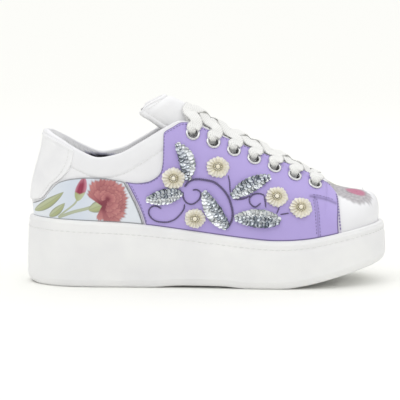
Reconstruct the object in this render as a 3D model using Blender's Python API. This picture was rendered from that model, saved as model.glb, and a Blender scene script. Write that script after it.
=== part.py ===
"""Right-foot platform sneaker: a deep moulded cup sole, a hollow lasted upper with sewn-on panels,
a padded tongue, ringed eyelets, flat laces and a beaded spray of flowers on the outer side.

Frame: +X to the toe, +Z up, -Y the outer (lateral) side, origin on the floor under the middle.
"""

import math

import bmesh
import bpy
import numpy as np
from mathutils import Matrix, Vector

MM = 0.001
GAP = 0.3 * MM              # clearance between pieces that lie on each other
PANEL_GAP = 0.5 * MM       # the same under the faceted sheets of the panels
LATERAL, MEDIAL = -1, 1     # sign of Y on each side of a right shoe

# Driving sizes
LENGTH = 305 * MM           # heel of the sole to its toe
TOE_SHIFT = 5.5 * MM        # the toe's tip leans to the inner side
UPPER_INSET = 6.5 * MM      # the upper stands this far inside the sole's edge
CUP_DEPTH = 14 * MM         # the sole's rim above its footbed
WALL = 2.0 * MM             # leather and lining
COLLAR_PAD = 4.5 * MM       # extra foam round the ankle
PANEL = 1.2 * MM            # leather of the sewn-on panels
INSOLE = 4.0 * MM
TONGUE = 6.0 * MM
STATIONS = 30               # sections from heel to toe
LEVELS = 8                  # rows from the sole's rim to the top line

# Tread: cross grooves under the heel and the ball
GROOVE_PLACES = (-124.0, -108.0, -92.0, -76.0, 36.0, 50.0, 64.0, 78.0, 92.0, 106.0)    # x in mm
GROOVE_WIDTH = 4.0 * MM
GROOVE_DEPTH = 2.2 * MM
GROOVE_MARGIN = 15.0 * MM   # kept whole at each side

# Eyelets and laces
EYELETS = 7                 # on each side
EYELET_RING = 6.1 * MM      # outer radius of the ring
EYELET_HOLE = 3.9 * MM
EYELET_BARREL = 4.7 * MM
EYELET_RISE = 0.9 * MM
EYELET_SIDES = 8
FIRST_EYELET = (-12.0 * MM, 126.9 * MM)    # x and z seen from the side, at the ankle
LAST_EYELET = (89.6 * MM, 84.2 * MM)       # the same at the toe end
LACE_WIDTH = 8.0 * MM
LACE_THICK = 1.5 * MM
LACE_LEAD = -2.0 * MM       # the lace lies this much nearer the ankle than its eyelet
LACE_LIFT = 1.2 * MM        # over the tongue and the panel's edge
LACE_REACH = 0.45           # share of the tongue's half width that the lace crosses
LACE_ON_EDGE = (0.95, 0.995)    # stops on the panel, as shares of the wall's height
LACE_ON_TONGUE = (-0.7, -0.2, 0.4, 1.0)     # stops over the tongue, from side to side

# Ornament
FLOWER_RISE = 3.0 * MM
FLOWER_PETALS = 8
PEARL_RADIUS = 2.4 * MM
LEAF_RISE = 2.0 * MM


class Rows:
    """A short table with named columns in millimetres, read smoothly along its first column."""

    def __init__(self, columns, rows, key=None):
        table = np.array(rows, float) * MM
        self.keys = key(table[:, 0]) if key else table[:, 0]
        self.columns = dict(zip(columns.split()[1:], table[:, 1:].T))

    def at(self, column, key):
        return smooth_between(self.keys, self.columns[column], np.asarray(key, float))


def smooth_between(keys, values, at):
    """Values at some keys, on a cubic through the rows that never overshoots them."""
    step = np.diff(keys)
    rise = np.diff(values) / step
    slope = np.concatenate([rise[:1], np.zeros(len(rise) - 1), rise[-1:]])
    same_way = rise[:-1] * rise[1:] > 0
    total = np.where(same_way, rise[:-1] + rise[1:], 1.0)
    slope[1:-1] = np.where(same_way, 2 * rise[:-1] * rise[1:] / total, 0.0)
    i = np.clip(np.searchsorted(keys, at, side="right") - 1, 0, len(step) - 1)
    u = np.clip((at - keys[i]) / step[i], 0.0, 1.0)
    start = (1 + 2 * u) * (1 - u) ** 2 * values[i] + u * (1 - u) ** 2 * step[i] * slope[i]
    end = u * u * (3 - 2 * u) * values[i + 1] + u * u * (u - 1) * step[i] * slope[i + 1]
    return start + end


def station(x):
    """Station of a place along the shoe: 0 at the heel, 1 at the toe, close together at both ends."""
    share = np.clip(np.asarray(x, float) / LENGTH + 0.5, 0.0, 1.0)
    return np.arccos(1 - 2 * share) / math.pi


OUTLINE = Rows(
    "x       lateral  medial",
    [
        (-152.5, 0.0, 0.0),
        (-140.0, -25.0, 25.0),
        (-122.0, -36.5, 36.0),
        (-95.0, -41.5, 40.5),
        (-55.0, -43.0, 39.5),
        (-15.0, -45.5, 40.0),
        (25.0, -50.0, 44.5),
        (62.0, -53.0, 50.5),
        (88.0, -52.0, 53.0),
        (115.0, -46.0, 50.5),
        (135.0, -33.5, 40.5),
        (146.0, -18.0, 27.0),
        (152.5, 5.5, 5.5),
    ],
    station,
)

# Height of the sole's rim, and of its underside with the heel's bevel, the arch and the toe spring
SOLE = Rows(
    "x       rim   underside",
    [
        (-152.5, 57.4, 3.2),
        (-146.0, 57.1, 1.0),
        (-139.0, 56.8, 0.0),
        (-122.0, 56.2, 0.0),
        (-72.0, 54.1, 0.0),
        (-50.0, 52.3, 0.0),
        (-20.0, 48.5, 1.8),
        (10.0, 44.6, 1.8),
        (34.0, 41.7, 0.0),
        (56.0, 40.0, 0.0),
        (64.0, 40.0, 0.2),
        (80.0, 40.9, 2.4),
        (99.0, 43.8, 6.8),
        (115.0, 46.9, 11.0),
        (135.0, 50.2, 16.0),
        (152.5, 52.5, 21.0),
    ],
    station,
)

# Side of the sole from the tread's edge to the cup: inset from the outline, and height as a share
# of the wall plus a fixed rise
SOLE_SIDE = [
    # inset, share, rise
    (10.0 * MM, 0.0, 0.0 * MM),
    (4.0 * MM, 0.0, 0.0 * MM),
    (1.3 * MM, 0.0, 1.6 * MM),
    (0.0 * MM, 0.0, 6.0 * MM),
    (0.7 * MM, 0.6, 0.0 * MM),
    (2.0 * MM, 1.0, -2.6 * MM),
    (2.9 * MM, 1.0, -0.8 * MM),
    (4.2 * MM, 1.0, 0.0 * MM),
]

# Each section's wall rises from the sole's rim to the top line: the collar, the throat's edge, and
# in front of the throat the ridge of the toe. The two handles bend the wall on its way.
SECTIONS = Rows(
    "rim     top_x  top_half top_z  low_out low_up top_out top_down",
    [
        (-152.5, -138.0, 0.0, 129.0, 9.0, 24.0, -3.0, 20.0),
        (-145.0, -133.8, 14.0, 127.6, 8.0, 24.0, -2.0, 19.0),
        (-125.0, -121.0, 24.5, 121.5, 5.0, 22.0, 1.0, 17.0),
        (-103.0, -105.0, 30.0, 113.0, 3.5, 20.0, 2.0, 16.0),
        (-85.0, -90.0, 32.5, 108.0, 2.5, 20.0, 2.5, 16.0),
        (-66.0, -75.0, 33.0, 110.6, 2.0, 21.0, 3.0, 17.0),
        (-40.0, -52.0, 31.5, 122.5, 1.8, 24.0, 5.0, 20.0),
        (-18.0, -34.0, 28.0, 133.0, 1.5, 29.0, 8.0, 22.0),
        (-2.0, -22.0, 25.0, 137.8, 1.2, 32.0, 10.0, 22.0),
        (8.0, -14.0, 22.5, 136.8, 1.0, 34.0, 11.0, 20.0),
        (42.0, 29.0, 18.5, 117.8, 0.8, 31.0, 13.0, 13.0),
        (70.0, 63.0, 15.5, 103.0, 0.6, 27.0, 16.0, 9.0),
        (84.0, 83.0, 14.0, 94.0, 0.5, 24.5, 18.0, 6.0),
        (91.0, 91.5, 12.0, 89.9, 0.5, 23.0, 20.0, 4.0),
        (95.0, 96.5, 8.0, 88.0, 0.5, 22.0, 23.0, 2.0),
        (98.0, 98.5, 0.0, 87.2, 0.5, 21.5, 28.0, 1.0),
        (118.0, 110.5, 0.0, 80.8, 0.6, 19.5, 22.0, 0.5),
        (138.0, 124.0, 0.0, 77.9, 1.2, 18.5, 16.5, 0.4),
        (152.5, 132.5, 0.0, 76.9, 2.0, 18.5, 11.5, 0.3),
    ],
    station,
)
THROAT_FRONT = station(91 * MM)     # from here the throat's edge turns inwards
THROAT_END = station(98 * MM)       # from here to the toe both sides meet on the ridge
TOP_EYELET = station(8 * MM)        # from here back the top line is the collar

# Crown of the tongue from under the toe's edge to its free tip, and how its sides fall away
TONGUE_ROWS = [
    # x, z, half width, sweep of the sides to the heel, drop of the sides
    (105.0, 79.5, 15.0, 0.8, 3.4),
    (92.0, 87.6, 19.0, 4.0, 8.6),
    (76.0, 98.5, 22.0, 5.5, 11.8),
    (52.0, 111.3, 24.0, 6.8, 14.0),
    (28.0, 123.2, 24.5, 8.0, 16.0),
    (8.0, 133.8, 22.0, 11.0, 18.0),
    (-5.0, 142.2, 20.0, 15.0, 20.0),
    (-15.0, 148.3, 20.0, 19.0, 19.5),
    (-23.0, 152.8, 22.0, 21.0, 17.0),
    (-30.0, 156.2, 24.5, 21.5, 15.0),
    (-35.0, 158.2, 24.5, 20.0, 13.5),
    (-37.5, 159.0, 20.0, 13.0, 8.0),
]
TONGUE_COLUMNS = 8

# Front panel of the quarter in millimetres seen from the side: from the sole's rim up to its top edge
QUARTER_ROWS = [
    # rim x, top x, top z
    (-52.0, -67.5, 87.8),
    (-45.5, -58.5, 86.8),
    (-39.0, -50.0, 87.8),
    (-32.0, -42.5, 91.2),
    (-25.0, -38.0, 96.5),
    (-17.0, -36.4, 106.0),
    (-9.0, -36.2, 117.0),
    (-2.0, -36.0, 127.0),
    (5.0, -28.5, 132.6),
    (11.0, -20.5, 136.4),
    (17.0, -13.0, 135.4),
    (31.0, 8.0, 126.2),
    (46.0, 29.0, 117.0),
    (60.0, 48.0, 108.8),
    (74.0, 65.0, 101.4),
    (88.0, 82.0, 93.8),
    (100.0, 95.0, 87.0),
    (106.0, 100.5, 83.6),
    (109.2, 104.9, 79.4),
    (111.2, 109.1, 73.6),
]
QUARTER_COLUMNS = 25
QUARTER_LEVELS = 8

# Rear panel behind it, in the same three columns
REAR_ROWS = [
    (-144.6, -145.2, 68.2),
    (-141.0, -140.6, 70.0),
    (-136.5, -135.2, 72.8),
    (-131.0, -131.2, 78.0),
    (-124.0, -126.6, 83.5),
    (-116.0, -121.0, 87.6),
    (-105.0, -110.5, 90.2),
    (-92.0, -98.0, 91.2),
    (-76.0, -84.0, 90.6),
    (-53.2, -68.7, 88.0),
]
REAR_COLUMNS = 14
REAR_LEVELS = 5

# Heel tab over the back: its edge seen from the side, from its foot round the rear panel to the collar
HEEL_TAB_ROWS = [
    # x, z
    (-144.6, 70.6),
    (-137.6, 73.0),
    (-133.2, 77.9),
    (-127.8, 84.8),
    (-121.5, 89.7),
    (-115.3, 96.5),
    (-111.5, 104.5),
    (-110.0, 113.4),
]
HEEL_TAB_COLUMNS = 5

# Ornament on the outer quarter, in millimetres seen from the side
FLOWER_ROWS = [
    # x, z, radius
    (-27.8, 91.4, 9.4),
    (8.6, 99.6, 9.4),
    (-9.4, 59.4, 8.4),
    (57.3, 76.2, 9.2),
    (76.9, 67.0, 9.2),
]
LEAF_ROWS = [
    # base x, base z, tip x, tip z, width, bow to the left of the way from base to tip
    (-15.5, 92.5, -25.5, 119.0, 12.0, -3.5),
    (-21.0, 77.0, -49.5, 73.0, 11.0, 0.5),
    (16.5, 51.5, -2.5, 80.0, 14.0, 2.0),
    (20.5, 76.5, 51.5, 90.8, 12.0, 1.5),
    (60.0, 55.5, 24.5, 59.0, 13.0, -1.0),
]
LEAF_STEPS = 7


def outline(a, side, inset=0.0):
    """Plan point of the sole's edge at a station, moved inwards, and its outward direction."""
    a = np.asarray(a, float)
    column = "lateral" if side == LATERAL else "medial"

    def edge(s):
        return np.stack([-LENGTH / 2 * np.cos(math.pi * s), OUTLINE.at(column, s)], -1)

    small = 1e-4
    along = edge(np.minimum(a + small, 1.0)) - edge(np.maximum(a - small, 0.0))
    end = (a < small) | (a > 1 - small)
    along = np.where(end[..., None], np.stack([np.zeros_like(a), np.where(a < 0.5, side, -side)], -1), along)
    along /= np.linalg.norm(along, axis=-1, keepdims=True)
    out = np.stack([-side * along[..., 1], side * along[..., 0]], -1)
    return edge(a) - inset * out, out


def centre_line(x):
    """Y of the shoe's middle, which leans to the inner side towards the toe."""
    share = np.clip((np.asarray(x, float) - 40 * MM) / (110 * MM), 0.0, 1.0)
    return TOE_SHIFT * share * share * (3 - 2 * share)


def rim_height(x):
    return SOLE.at("rim", station(x))


def ridge_slope(a):
    """Rise of the toe's ridge per length, with which both sides meet smoothly on it."""
    small = 1e-3
    here = np.clip(a, THROAT_END + small, 1.0 - small)
    run = SECTIONS.at("top_x", here + small) - SECTIONS.at("top_x", here - small)
    rise = SECTIONS.at("top_z", here + small) - SECTIONS.at("top_z", here - small)
    return rise / run * np.clip((a - THROAT_FRONT) / (THROAT_END - THROAT_FRONT), 0.0, 1.0)


def skin(a, t, side):
    """Outer face of the upper: a runs from the heel to the toe, t from the sole's rim to the top line."""
    a, t = np.broadcast_arrays(np.asarray(a, float), np.asarray(t, float))
    plan, out = outline(a, side, UPPER_INSET)
    foot = np.concatenate([plan, rim_height(plan[..., 0])[..., None]], -1)
    top_x = SECTIONS.at("top_x", a)
    top_y = centre_line(top_x) + side * SECTIONS.at("top_half", a)
    top = np.stack([top_x, top_y, SECTIONS.at("top_z", a)], -1)

    def handle(base, outward, upward):
        flat = base[..., :2] + out * SECTIONS.at(outward, a)[..., None]
        return np.concatenate([flat, (base[..., 2] + upward)[..., None]], -1)

    low = handle(foot, "low_out", SECTIONS.at("low_up", a))
    lean = ridge_slope(a) * out[..., 0] * SECTIONS.at("top_out", a)
    high = handle(top, "top_out", lean - SECTIONS.at("top_down", a))
    t = t[..., None]
    return (1 - t) ** 3 * foot + 3 * t * (1 - t) ** 2 * low + 3 * t * t * (1 - t) * high + t**3 * top


def skin_normal(a, t, side):
    small = 2e-3
    along = skin(np.minimum(a + small, 1.0), t, side) - skin(np.maximum(a - small, 0.0), t, side)
    up = skin(a, np.minimum(t + small, 1.0), side) - skin(a, np.maximum(t - small, 0.0), side)
    normal = -side * np.cross(along, up)
    normal[..., 1] *= (a > 0) & (a < 1)     # the two sides agree on the heel's and the toe's middle
    return normal / np.maximum(np.linalg.norm(normal, axis=-1, keepdims=True), 1e-12)


def find(x, z, side):
    """Station and height share of the skin's point that is seen from the side at x and z."""
    x, z = np.broadcast_arrays(np.asarray(x, float), np.asarray(z, float))
    a = station(x)
    rim = rim_height(x)
    t = np.clip((z - rim) / (SECTIONS.at("top_z", a) - rim), 0.02, 0.98)
    small = 1e-4
    for _ in range(18):
        here = skin(a, t, side)
        by_a = (skin(a + small, t, side) - skin(a - small, t, side)) / (2 * small)
        by_t = (skin(a, t + small, side) - skin(a, t - small, side)) / (2 * small)
        off_x, off_z = x - here[..., 0], z - here[..., 2]
        area = by_a[..., 0] * by_t[..., 2] - by_t[..., 0] * by_a[..., 2]
        area = np.where(np.abs(area) < 1e-7, 1e-7, area)
        step_a = (off_x * by_t[..., 2] - off_z * by_t[..., 0]) / area
        step_t = (by_a[..., 0] * off_z - by_a[..., 2] * off_x) / area
        a = np.clip(a + np.clip(step_a, -0.03, 0.03), 0.002, 0.998)
        t = np.clip(t + np.clip(step_t, -0.15, 0.15), 0.0, 1.0)
    return a, t


def raised(a, t, side, height):
    """Point above the skin, along its normal."""
    return skin(a, t, side) + skin_normal(a, t, side) * np.asarray(height)[..., None]


def draped(x, z, height):
    """Point above the outer quarter panel, placed as it is seen from the side."""
    a, t = find(x, z, LATERAL)
    return raised(a, t, LATERAL, np.broadcast_to(PANEL_GAP + PANEL + GAP + np.asarray(height), a.shape))


def grid_faces(rows, columns, start=0, flip=False):
    """Faces of a grid whose points run along the columns first."""
    faces = []
    for i in range(rows - 1):
        for j in range(columns - 1):
            k = start + i * columns + j
            face = (k, k + 1, k + columns + 1, k + columns)
            faces.append(face[::-1] if flip else face)
    return faces


def welded(points, faces):
    """Points that coincide made one."""
    _, first, index = np.unique(np.round(points / (0.01 * MM)), axis=0, return_index=True, return_inverse=True)
    index = index.reshape(-1)
    merged = []
    for face in faces:
        corners = list(dict.fromkeys(int(index[k]) for k in face))
        if len(corners) > 2:
            merged.append(tuple(corners))
    return points[first], merged, first


def point_normals(points, faces):
    normals = np.zeros_like(points)
    for face in faces:
        corner = points[list(face)]
        area = np.cross(corner[2] - corner[0], corner[-1] - corner[1])
        for k in face:
            normals[k] += area
    return normals / np.maximum(np.linalg.norm(normals, axis=1, keepdims=True), 1e-15)


def thickened(points, faces, thickness):
    """Closes an open sheet into a solid that reaches this far behind its face."""
    count = len(points)
    inner = points - point_normals(points, faces) * np.broadcast_to(thickness, count)[:, None]
    open_edges = {}
    for face in faces:
        for start, end in zip(face, face[1:] + face[:1]):
            if open_edges.pop((end, start), None) is None:
                open_edges[(start, end)] = True
    solid = list(faces) + [tuple(k + count for k in reversed(face)) for face in faces]
    solid += [(end, start, start + count, end + count) for start, end in open_edges]
    return np.concatenate([points, inner]), solid


def material(name, colour, roughness, metallic=0.0):
    made = bpy.data.materials.get(name) or bpy.data.materials.new(name)
    made.use_nodes = True
    shader = made.node_tree.nodes["Principled BSDF"]
    shader.inputs["Base Color"].default_value = (*colour, 1.0)
    shader.inputs["Roughness"].default_value = roughness
    shader.inputs["Metallic"].default_value = metallic
    return made


def finishes():
    return {
        "rubber": material("white_rubber", (0.86, 0.87, 0.89), 0.55),
        "leather": material("white_leather", (0.88, 0.88, 0.90), 0.45),
        "lilac": material("lilac_leather", (0.44, 0.36, 0.71), 0.45),
        "printed": material("printed_leather", (0.78, 0.82, 0.86), 0.45),
        "lining": material("grey_lining", (0.62, 0.62, 0.68), 0.85),
        "cotton": material("white_cotton", (0.88, 0.88, 0.88), 0.9),
        "nickel": material("bright_nickel", (0.80, 0.80, 0.82), 0.2, 1.0),
        "petal": material("ivory_petals", (0.80, 0.74, 0.55), 0.4),
        "sequin": material("silver_sequins", (0.62, 0.65, 0.68), 0.2, 1.0),
    }


def add_object(name, points, faces, finish):
    """A named object from points and faces, with its faces turned outwards."""
    mesh = bpy.data.meshes.new(name)
    mesh.from_pydata([tuple(p) for p in points], [], faces)
    shape = bmesh.new()
    shape.from_mesh(mesh)
    bmesh.ops.remove_doubles(shape, verts=shape.verts, dist=0.005 * MM)
    bmesh.ops.recalc_face_normals(shape, faces=shape.faces)
    shape.to_mesh(mesh)
    shape.free()
    mesh.shade_smooth()
    mesh.set_sharp_from_angle(angle=math.radians(40))
    made = bpy.data.objects.new(name, mesh)
    made.data.materials.append(finish)
    bpy.context.scene.collection.objects.link(made)
    return made


def sole_ring(inset, heights):
    """Closed loop of the sole at an inset: out along the lateral side, back along the medial one."""
    a = np.linspace(0.0, 1.0, STATIONS + 1)
    sides = []
    for side, order in ((LATERAL, slice(None)), (MEDIAL, slice(-2, 0, -1))):
        plan, _ = outline(a[order], side, inset)
        sides.append(np.concatenate([plan, heights(plan[:, 0])[:, None]], -1))
    return np.concatenate(sides)


def across(ring, columns, height):
    """Points in rows from the lateral edge of a ring to the medial one, without the ring's own points."""
    count = len(ring)
    rows = []
    for i in range(1, STATIONS):
        start, end = ring[i], ring[count - i]
        shares = np.linspace(0.0, 1.0, columns + 1)[1:-1]
        row = start + (end - start) * shares[:, None]
        row[:, 2] = height(row[:, 0])
        rows.append(row)
    return np.array(rows)


def cap_faces(ring_start, count, inner_start, columns):
    """Faces that fill a ring with the rows of points that cross it."""
    def row(i):
        if i in (0, STATIONS):
            return [ring_start + i] * (columns + 1)
        inner = [inner_start + (i - 1) * (columns - 1) + j for j in range(columns - 1)]
        return [ring_start + i, *inner, ring_start + count - i]

    faces = []
    for i in range(STATIONS):
        near, far = row(i), row(i + 1)
        for j in range(columns):
            corners = list(dict.fromkeys((near[j], near[j + 1], far[j + 1], far[j])))
            if len(corners) > 2:
                faces.append(tuple(corners))
    return faces


def underside(x):
    return SOLE.at("underside", station(x))


def add_cutter(name, shape):
    """A hidden object for cutting, from a bmesh."""
    mesh = bpy.data.meshes.new(name)
    shape.to_mesh(mesh)
    shape.free()
    cutter = bpy.data.objects.new(name, mesh)
    cutter.hide_render = True
    cutter.display_type = "WIRE"
    bpy.context.scene.collection.objects.link(cutter)
    return cutter


def cut(piece, cutter):
    made = piece.modifiers.new(cutter.name, "BOOLEAN")
    made.operation = "DIFFERENCE"
    made.object = cutter


def cut_tread(sole):
    """Cross grooves that leave bars of tread under the heel and the ball."""
    shape = bmesh.new()
    for x in np.array(GROOVE_PLACES) * MM:
        lateral, medial = (float(OUTLINE.at(word, station(x))) for word in ("lateral", "medial"))
        length = medial - lateral - 2 * GROOVE_MARGIN
        top = float(underside(x)) + GROOVE_DEPTH
        size = Matrix.Diagonal((GROOVE_WIDTH, length, 2 * GROOVE_DEPTH + 6 * MM, 1.0))
        place = Matrix.Translation((x, (lateral + medial) / 2, top - GROOVE_DEPTH - 3 * MM))
        bmesh.ops.create_cube(shape, size=1.0, matrix=place @ size)
    cut(sole, add_cutter("tread_cutter", shape))


def make_sole(finish):
    def level(share, rise):
        return lambda x: underside(x) + share * (rim_height(x) - underside(x)) + rise

    rings = [sole_ring(inset, level(share, rise)) for inset, share, rise in SOLE_SIDE]
    cup = UPPER_INSET - GAP
    rings.append(sole_ring(cup, rim_height))
    rings.append(sole_ring(cup, lambda x: rim_height(x) - CUP_DEPTH))
    count = len(rings[0])
    points = list(rings)
    faces = []
    for k in range(len(rings) - 1):
        for i in range(count):
            j = (i + 1) % count
            faces.append((k * count + i, k * count + j, (k + 1) * count + j, (k + 1) * count + i))
    columns = 2
    tread = across(rings[0], columns, underside)
    bed = across(rings[-1], columns, lambda x: rim_height(x) - CUP_DEPTH)
    tread_start = len(rings) * count
    bed_start = tread_start + tread.shape[0] * tread.shape[1]
    faces += cap_faces(0, count, tread_start, columns)
    faces += cap_faces((len(rings) - 1) * count, count, bed_start, columns)
    points += [tread.reshape(-1, 3), bed.reshape(-1, 3)]
    return add_object("sole", np.concatenate(points), faces, finish)


def make_insole(finish):
    inset = UPPER_INSET + WALL + 3 * GAP
    columns = 2
    points, faces = [], []
    for lift in (GAP, GAP + INSOLE):
        def height(x, lift=lift):
            return rim_height(x) - CUP_DEPTH + lift

        ring = sole_ring(inset, height)
        inner = across(ring, columns, height)
        start = sum(len(p) for p in points)
        points += [ring, inner.reshape(-1, 3)]
        faces += cap_faces(start, len(ring), start + len(ring), columns)
    count, top = len(ring), len(points[0]) + len(points[1])
    for i in range(count):
        j = (i + 1) % count
        faces.append((i, j, top + j, top + i))
    return add_object("insole", np.concatenate(points), faces, finish)


def collar_padding(a, t):
    """Foam at the collar, thickest a little below its edge and gone at the throat."""
    along = np.clip((TOP_EYELET - a) / 0.12, 0.0, 1.0)
    up = np.clip((t - 0.45) / 0.4, 0.0, 1.0)
    edge = np.clip((1.0 - t) / 0.12, 0.0, 1.0)
    return COLLAR_PAD * along * up * (0.45 + 0.55 * edge)


def make_upper(finish):
    stations = np.linspace(0.0, 1.0, STATIONS + 1)
    stations[np.argmin(np.abs(stations - THROAT_END))] = THROAT_END
    levels = np.concatenate([np.linspace(0.0, 1.0, LEVELS), [0.95]])
    levels.sort()
    a, t = np.meshgrid(stations, levels, indexing="ij")
    points, faces, thickness = [], [], []
    for side in (LATERAL, MEDIAL):
        wall = skin(a, t, side)
        tucked = wall[:, :1].copy()
        tucked[..., 2] -= CUP_DEPTH - GAP
        sheet = np.concatenate([tucked, wall], 1)
        pad = WALL + np.concatenate([np.zeros((len(stations), 1)), collar_padding(a, t)], 1)
        faces += grid_faces(*sheet.shape[:2], start=sum(len(p) for p in points), flip=side == LATERAL)
        points.append(sheet.reshape(-1, 3))
        thickness.append(pad.reshape(-1))
    points, faces, kept = welded(np.concatenate(points), faces)
    points, faces = thickened(points, faces, np.concatenate(thickness)[kept])
    return add_object("upper", points, faces, finish)


def resampled(rows, count):
    """More rows on smooth lines through the given ones."""
    rows = np.array(rows, float)
    at = np.linspace(0, len(rows) - 1, count)
    return np.stack([smooth_between(np.arange(len(rows)), column, at) for column in rows.T])


def make_panel(name, rows, columns, levels, side, finish):
    """Panel on the skin, from the sole's rim to its top edge."""
    rim_x, top_x, top_z = resampled(rows, columns) * MM
    low_a, low_t = find(rim_x, rim_height(rim_x) + 2 * GAP, side)
    top_a, top_t = find(top_x, top_z, side)
    share = np.linspace(0.0, 1.0, levels)
    a = low_a[:, None] + (top_a - low_a)[:, None] * share
    t = low_t[:, None] + (top_t - low_t)[:, None] * share
    sheet = raised(a, t, side, np.full(a.shape, PANEL_GAP + PANEL))
    faces = grid_faces(columns, levels, flip=side == LATERAL)
    points, faces = thickened(sheet.reshape(-1, 3), faces, PANEL)
    return add_object(name, points, faces, finish)


def make_heel_tab(finish):
    edge_x, edge_z = np.array(HEEL_TAB_ROWS).T * MM
    columns = np.linspace(0.0, 1.0, HEEL_TAB_COLUMNS)
    edges = {side: find(edge_x, edge_z, side) for side in (LATERAL, MEDIAL)}
    middle_t = (edges[LATERAL][1] + edges[MEDIAL][1]) / 2
    points, faces = [], []
    for side, (edge_a, edge_t) in edges.items():
        a = edge_a[:, None] * columns
        t = middle_t[:, None] + (edge_t - middle_t)[:, None] * columns
        sheet = raised(a, t, side, np.full(a.shape, PANEL_GAP + PANEL))
        faces += grid_faces(*a.shape, start=sum(len(p) for p in points), flip=side == LATERAL)
        points.append(sheet.reshape(-1, 3))
    points, faces, _ = welded(np.concatenate(points), faces)
    points, faces = thickened(points, faces, PANEL)
    return add_object("heel_tab", points, faces, finish)


def tongue_face(along, share):
    """Point of the tongue's outer face and its outward direction: along from its root to its tip in
    table rows, share from -1 at the lateral edge to 1 at the medial one."""
    along, share = np.broadcast_arrays(np.asarray(along, float), np.asarray(share, float))
    rows = np.array(TONGUE_ROWS).T * MM
    keys = np.arange(rows.shape[1])

    def face(at, to):
        x, z, half, sweep, drop = (smooth_between(keys, row, at) for row in rows)
        return np.stack([x - sweep * to**2, centre_line(x) + half * to, z - drop * to**2], -1)

    small = 0.02
    forth = face(np.minimum(along + small, keys[-1]), share) - face(np.maximum(along - small, 0), share)
    sideways = face(along, share + small) - face(along, share - small)
    up = np.cross(sideways, forth)
    return face(along, share), up / np.linalg.norm(up, axis=-1, keepdims=True)


def make_tongue(finish):
    along = np.arange(len(TONGUE_ROWS), dtype=float)
    share = np.linspace(-1.0, 1.0, TONGUE_COLUMNS + 1)
    sheet, _ = tongue_face(along[:, None], share)
    faces = grid_faces(len(along), len(share))
    thickness = np.full(sheet.shape[:2], TONGUE)
    thickness[:3] = WALL + GAP
    thickness[3] = (TONGUE + WALL) / 2
    thickness[:, (0, -1)] *= 0.5
    thickness[-1] *= 0.5
    points, faces = thickened(sheet.reshape(-1, 3), faces, thickness.reshape(-1))
    return add_object("tongue", points, faces, finish)


def eyelet_frame(i, side):
    """Centre of an eyelet on the quarter's face, and its outward direction."""
    share = i / (EYELETS - 1)
    x = FIRST_EYELET[0] + share * (LAST_EYELET[0] - FIRST_EYELET[0])
    z = FIRST_EYELET[1] + share * (LAST_EYELET[1] - FIRST_EYELET[1])
    a, t = find(x, z, side)
    centre = raised(a, t, side, np.array(PANEL_GAP + PANEL))
    return Vector(centre), Vector(skin_normal(a, t, side))


def turned(profile, sides):
    """Points and faces of a closed ring turned about Z from a profile of radius and height."""
    points, faces = [], []
    count = len(profile)
    for i in range(sides):
        angle = 2 * math.pi * i / sides
        points += [(r * math.cos(angle), r * math.sin(angle), z) for r, z in profile]
        for j in range(count):
            k = (j + 1) % count
            n = (i + 1) % sides
            faces.append((i * count + j, n * count + j, n * count + k, i * count + k))
    return np.array(points), faces


def placed(points, centre, direction):
    """Points turned so that their Z axis lies along a direction, and moved to a centre."""
    turn = direction.to_track_quat("Z", "Y").to_matrix()
    return np.array([centre + turn @ Vector(p) for p in points])


def make_eyelets(finish):
    deep = -(PANEL + WALL + PANEL_GAP)
    profile = [
        (EYELET_HOLE, deep),
        (EYELET_BARREL - GAP, deep),
        (EYELET_BARREL - GAP, PANEL_GAP),
        (EYELET_RING, PANEL_GAP),
        (EYELET_HOLE, PANEL_GAP + EYELET_RISE),
    ]
    points, faces = turned(profile, EYELET_SIDES)
    for side, word in ((LATERAL, "lateral"), (MEDIAL, "medial")):
        for i in range(EYELETS):
            ring = placed(points, *eyelet_frame(i, side))
            add_object(f"eyelet_{word}_{i + 1}", ring, faces, finish)


def cut_eyelet_holes(*pieces):
    """Punches the eyelets' holes through the panel and the wall behind it."""
    reach = 8 * MM
    shape = bmesh.new()
    for side in (LATERAL, MEDIAL):
        for i in range(EYELETS):
            centre, direction = eyelet_frame(i, side)
            turn = Matrix.Translation(centre) @ direction.to_track_quat("Z", "Y").to_matrix().to_4x4()
            bmesh.ops.create_cone(
                shape, cap_ends=True, segments=EYELET_SIDES, radius1=EYELET_BARREL, radius2=EYELET_BARREL,
                depth=2 * reach, matrix=turn,
            )
    cutter = add_cutter("eyelet_cutter", shape)
    for piece in pieces:
        cut(piece, cutter)


def throat_edge(centre):
    """Station of the throat's edge straight across from an eyelet."""
    slope = (LAST_EYELET[1] - FIRST_EYELET[1]) / (LAST_EYELET[0] - FIRST_EYELET[0])
    a = np.linspace(TOP_EYELET, THROAT_END, 60)
    return np.interp(centre.x - slope * LACE_WIDTH / 2, SECTIONS.at("top_x", a), a)


def tongue_row(x):
    """Place along the tongue, in table rows, at an x."""
    rows = np.array(TONGUE_ROWS)
    return np.interp(x, rows[::-1, 0] * MM, np.arange(len(rows))[::-1])


def lace_stops(i, j, side):
    """Stops of a lace from beside an eyelet, over the throat's edge and the tongue, to the far edge,
    each with the direction that its flat faces."""
    on_panel = PANEL_GAP + PANEL + LACE_LIFT + LACE_THICK / 2
    centre, _ = eyelet_frame(i, side)
    far, _ = eyelet_frame(j, -side)
    edge = throat_edge(centre)
    stops = []
    for t in LACE_ON_EDGE:
        stops.append((raised(edge, t, side, np.array(on_panel)), skin_normal(edge, np.array(t), side)))
    start, end = tongue_row(centre.x + LACE_LEAD), tongue_row(far.x + LACE_LEAD)
    for share in LACE_ON_TONGUE:
        along = start + (end - start) * (share + 1) / 2
        face, up = tongue_face(along, -share * side * LACE_REACH)
        stops.append((face + up * (LACE_LIFT + LACE_THICK / 2), up))
    if i == j:
        far_edge = throat_edge(far)
        for t in reversed(LACE_ON_EDGE):
            stops.append((raised(far_edge, t, -side, np.array(on_panel)), skin_normal(far_edge, np.array(t), -side)))
    return stops


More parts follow.
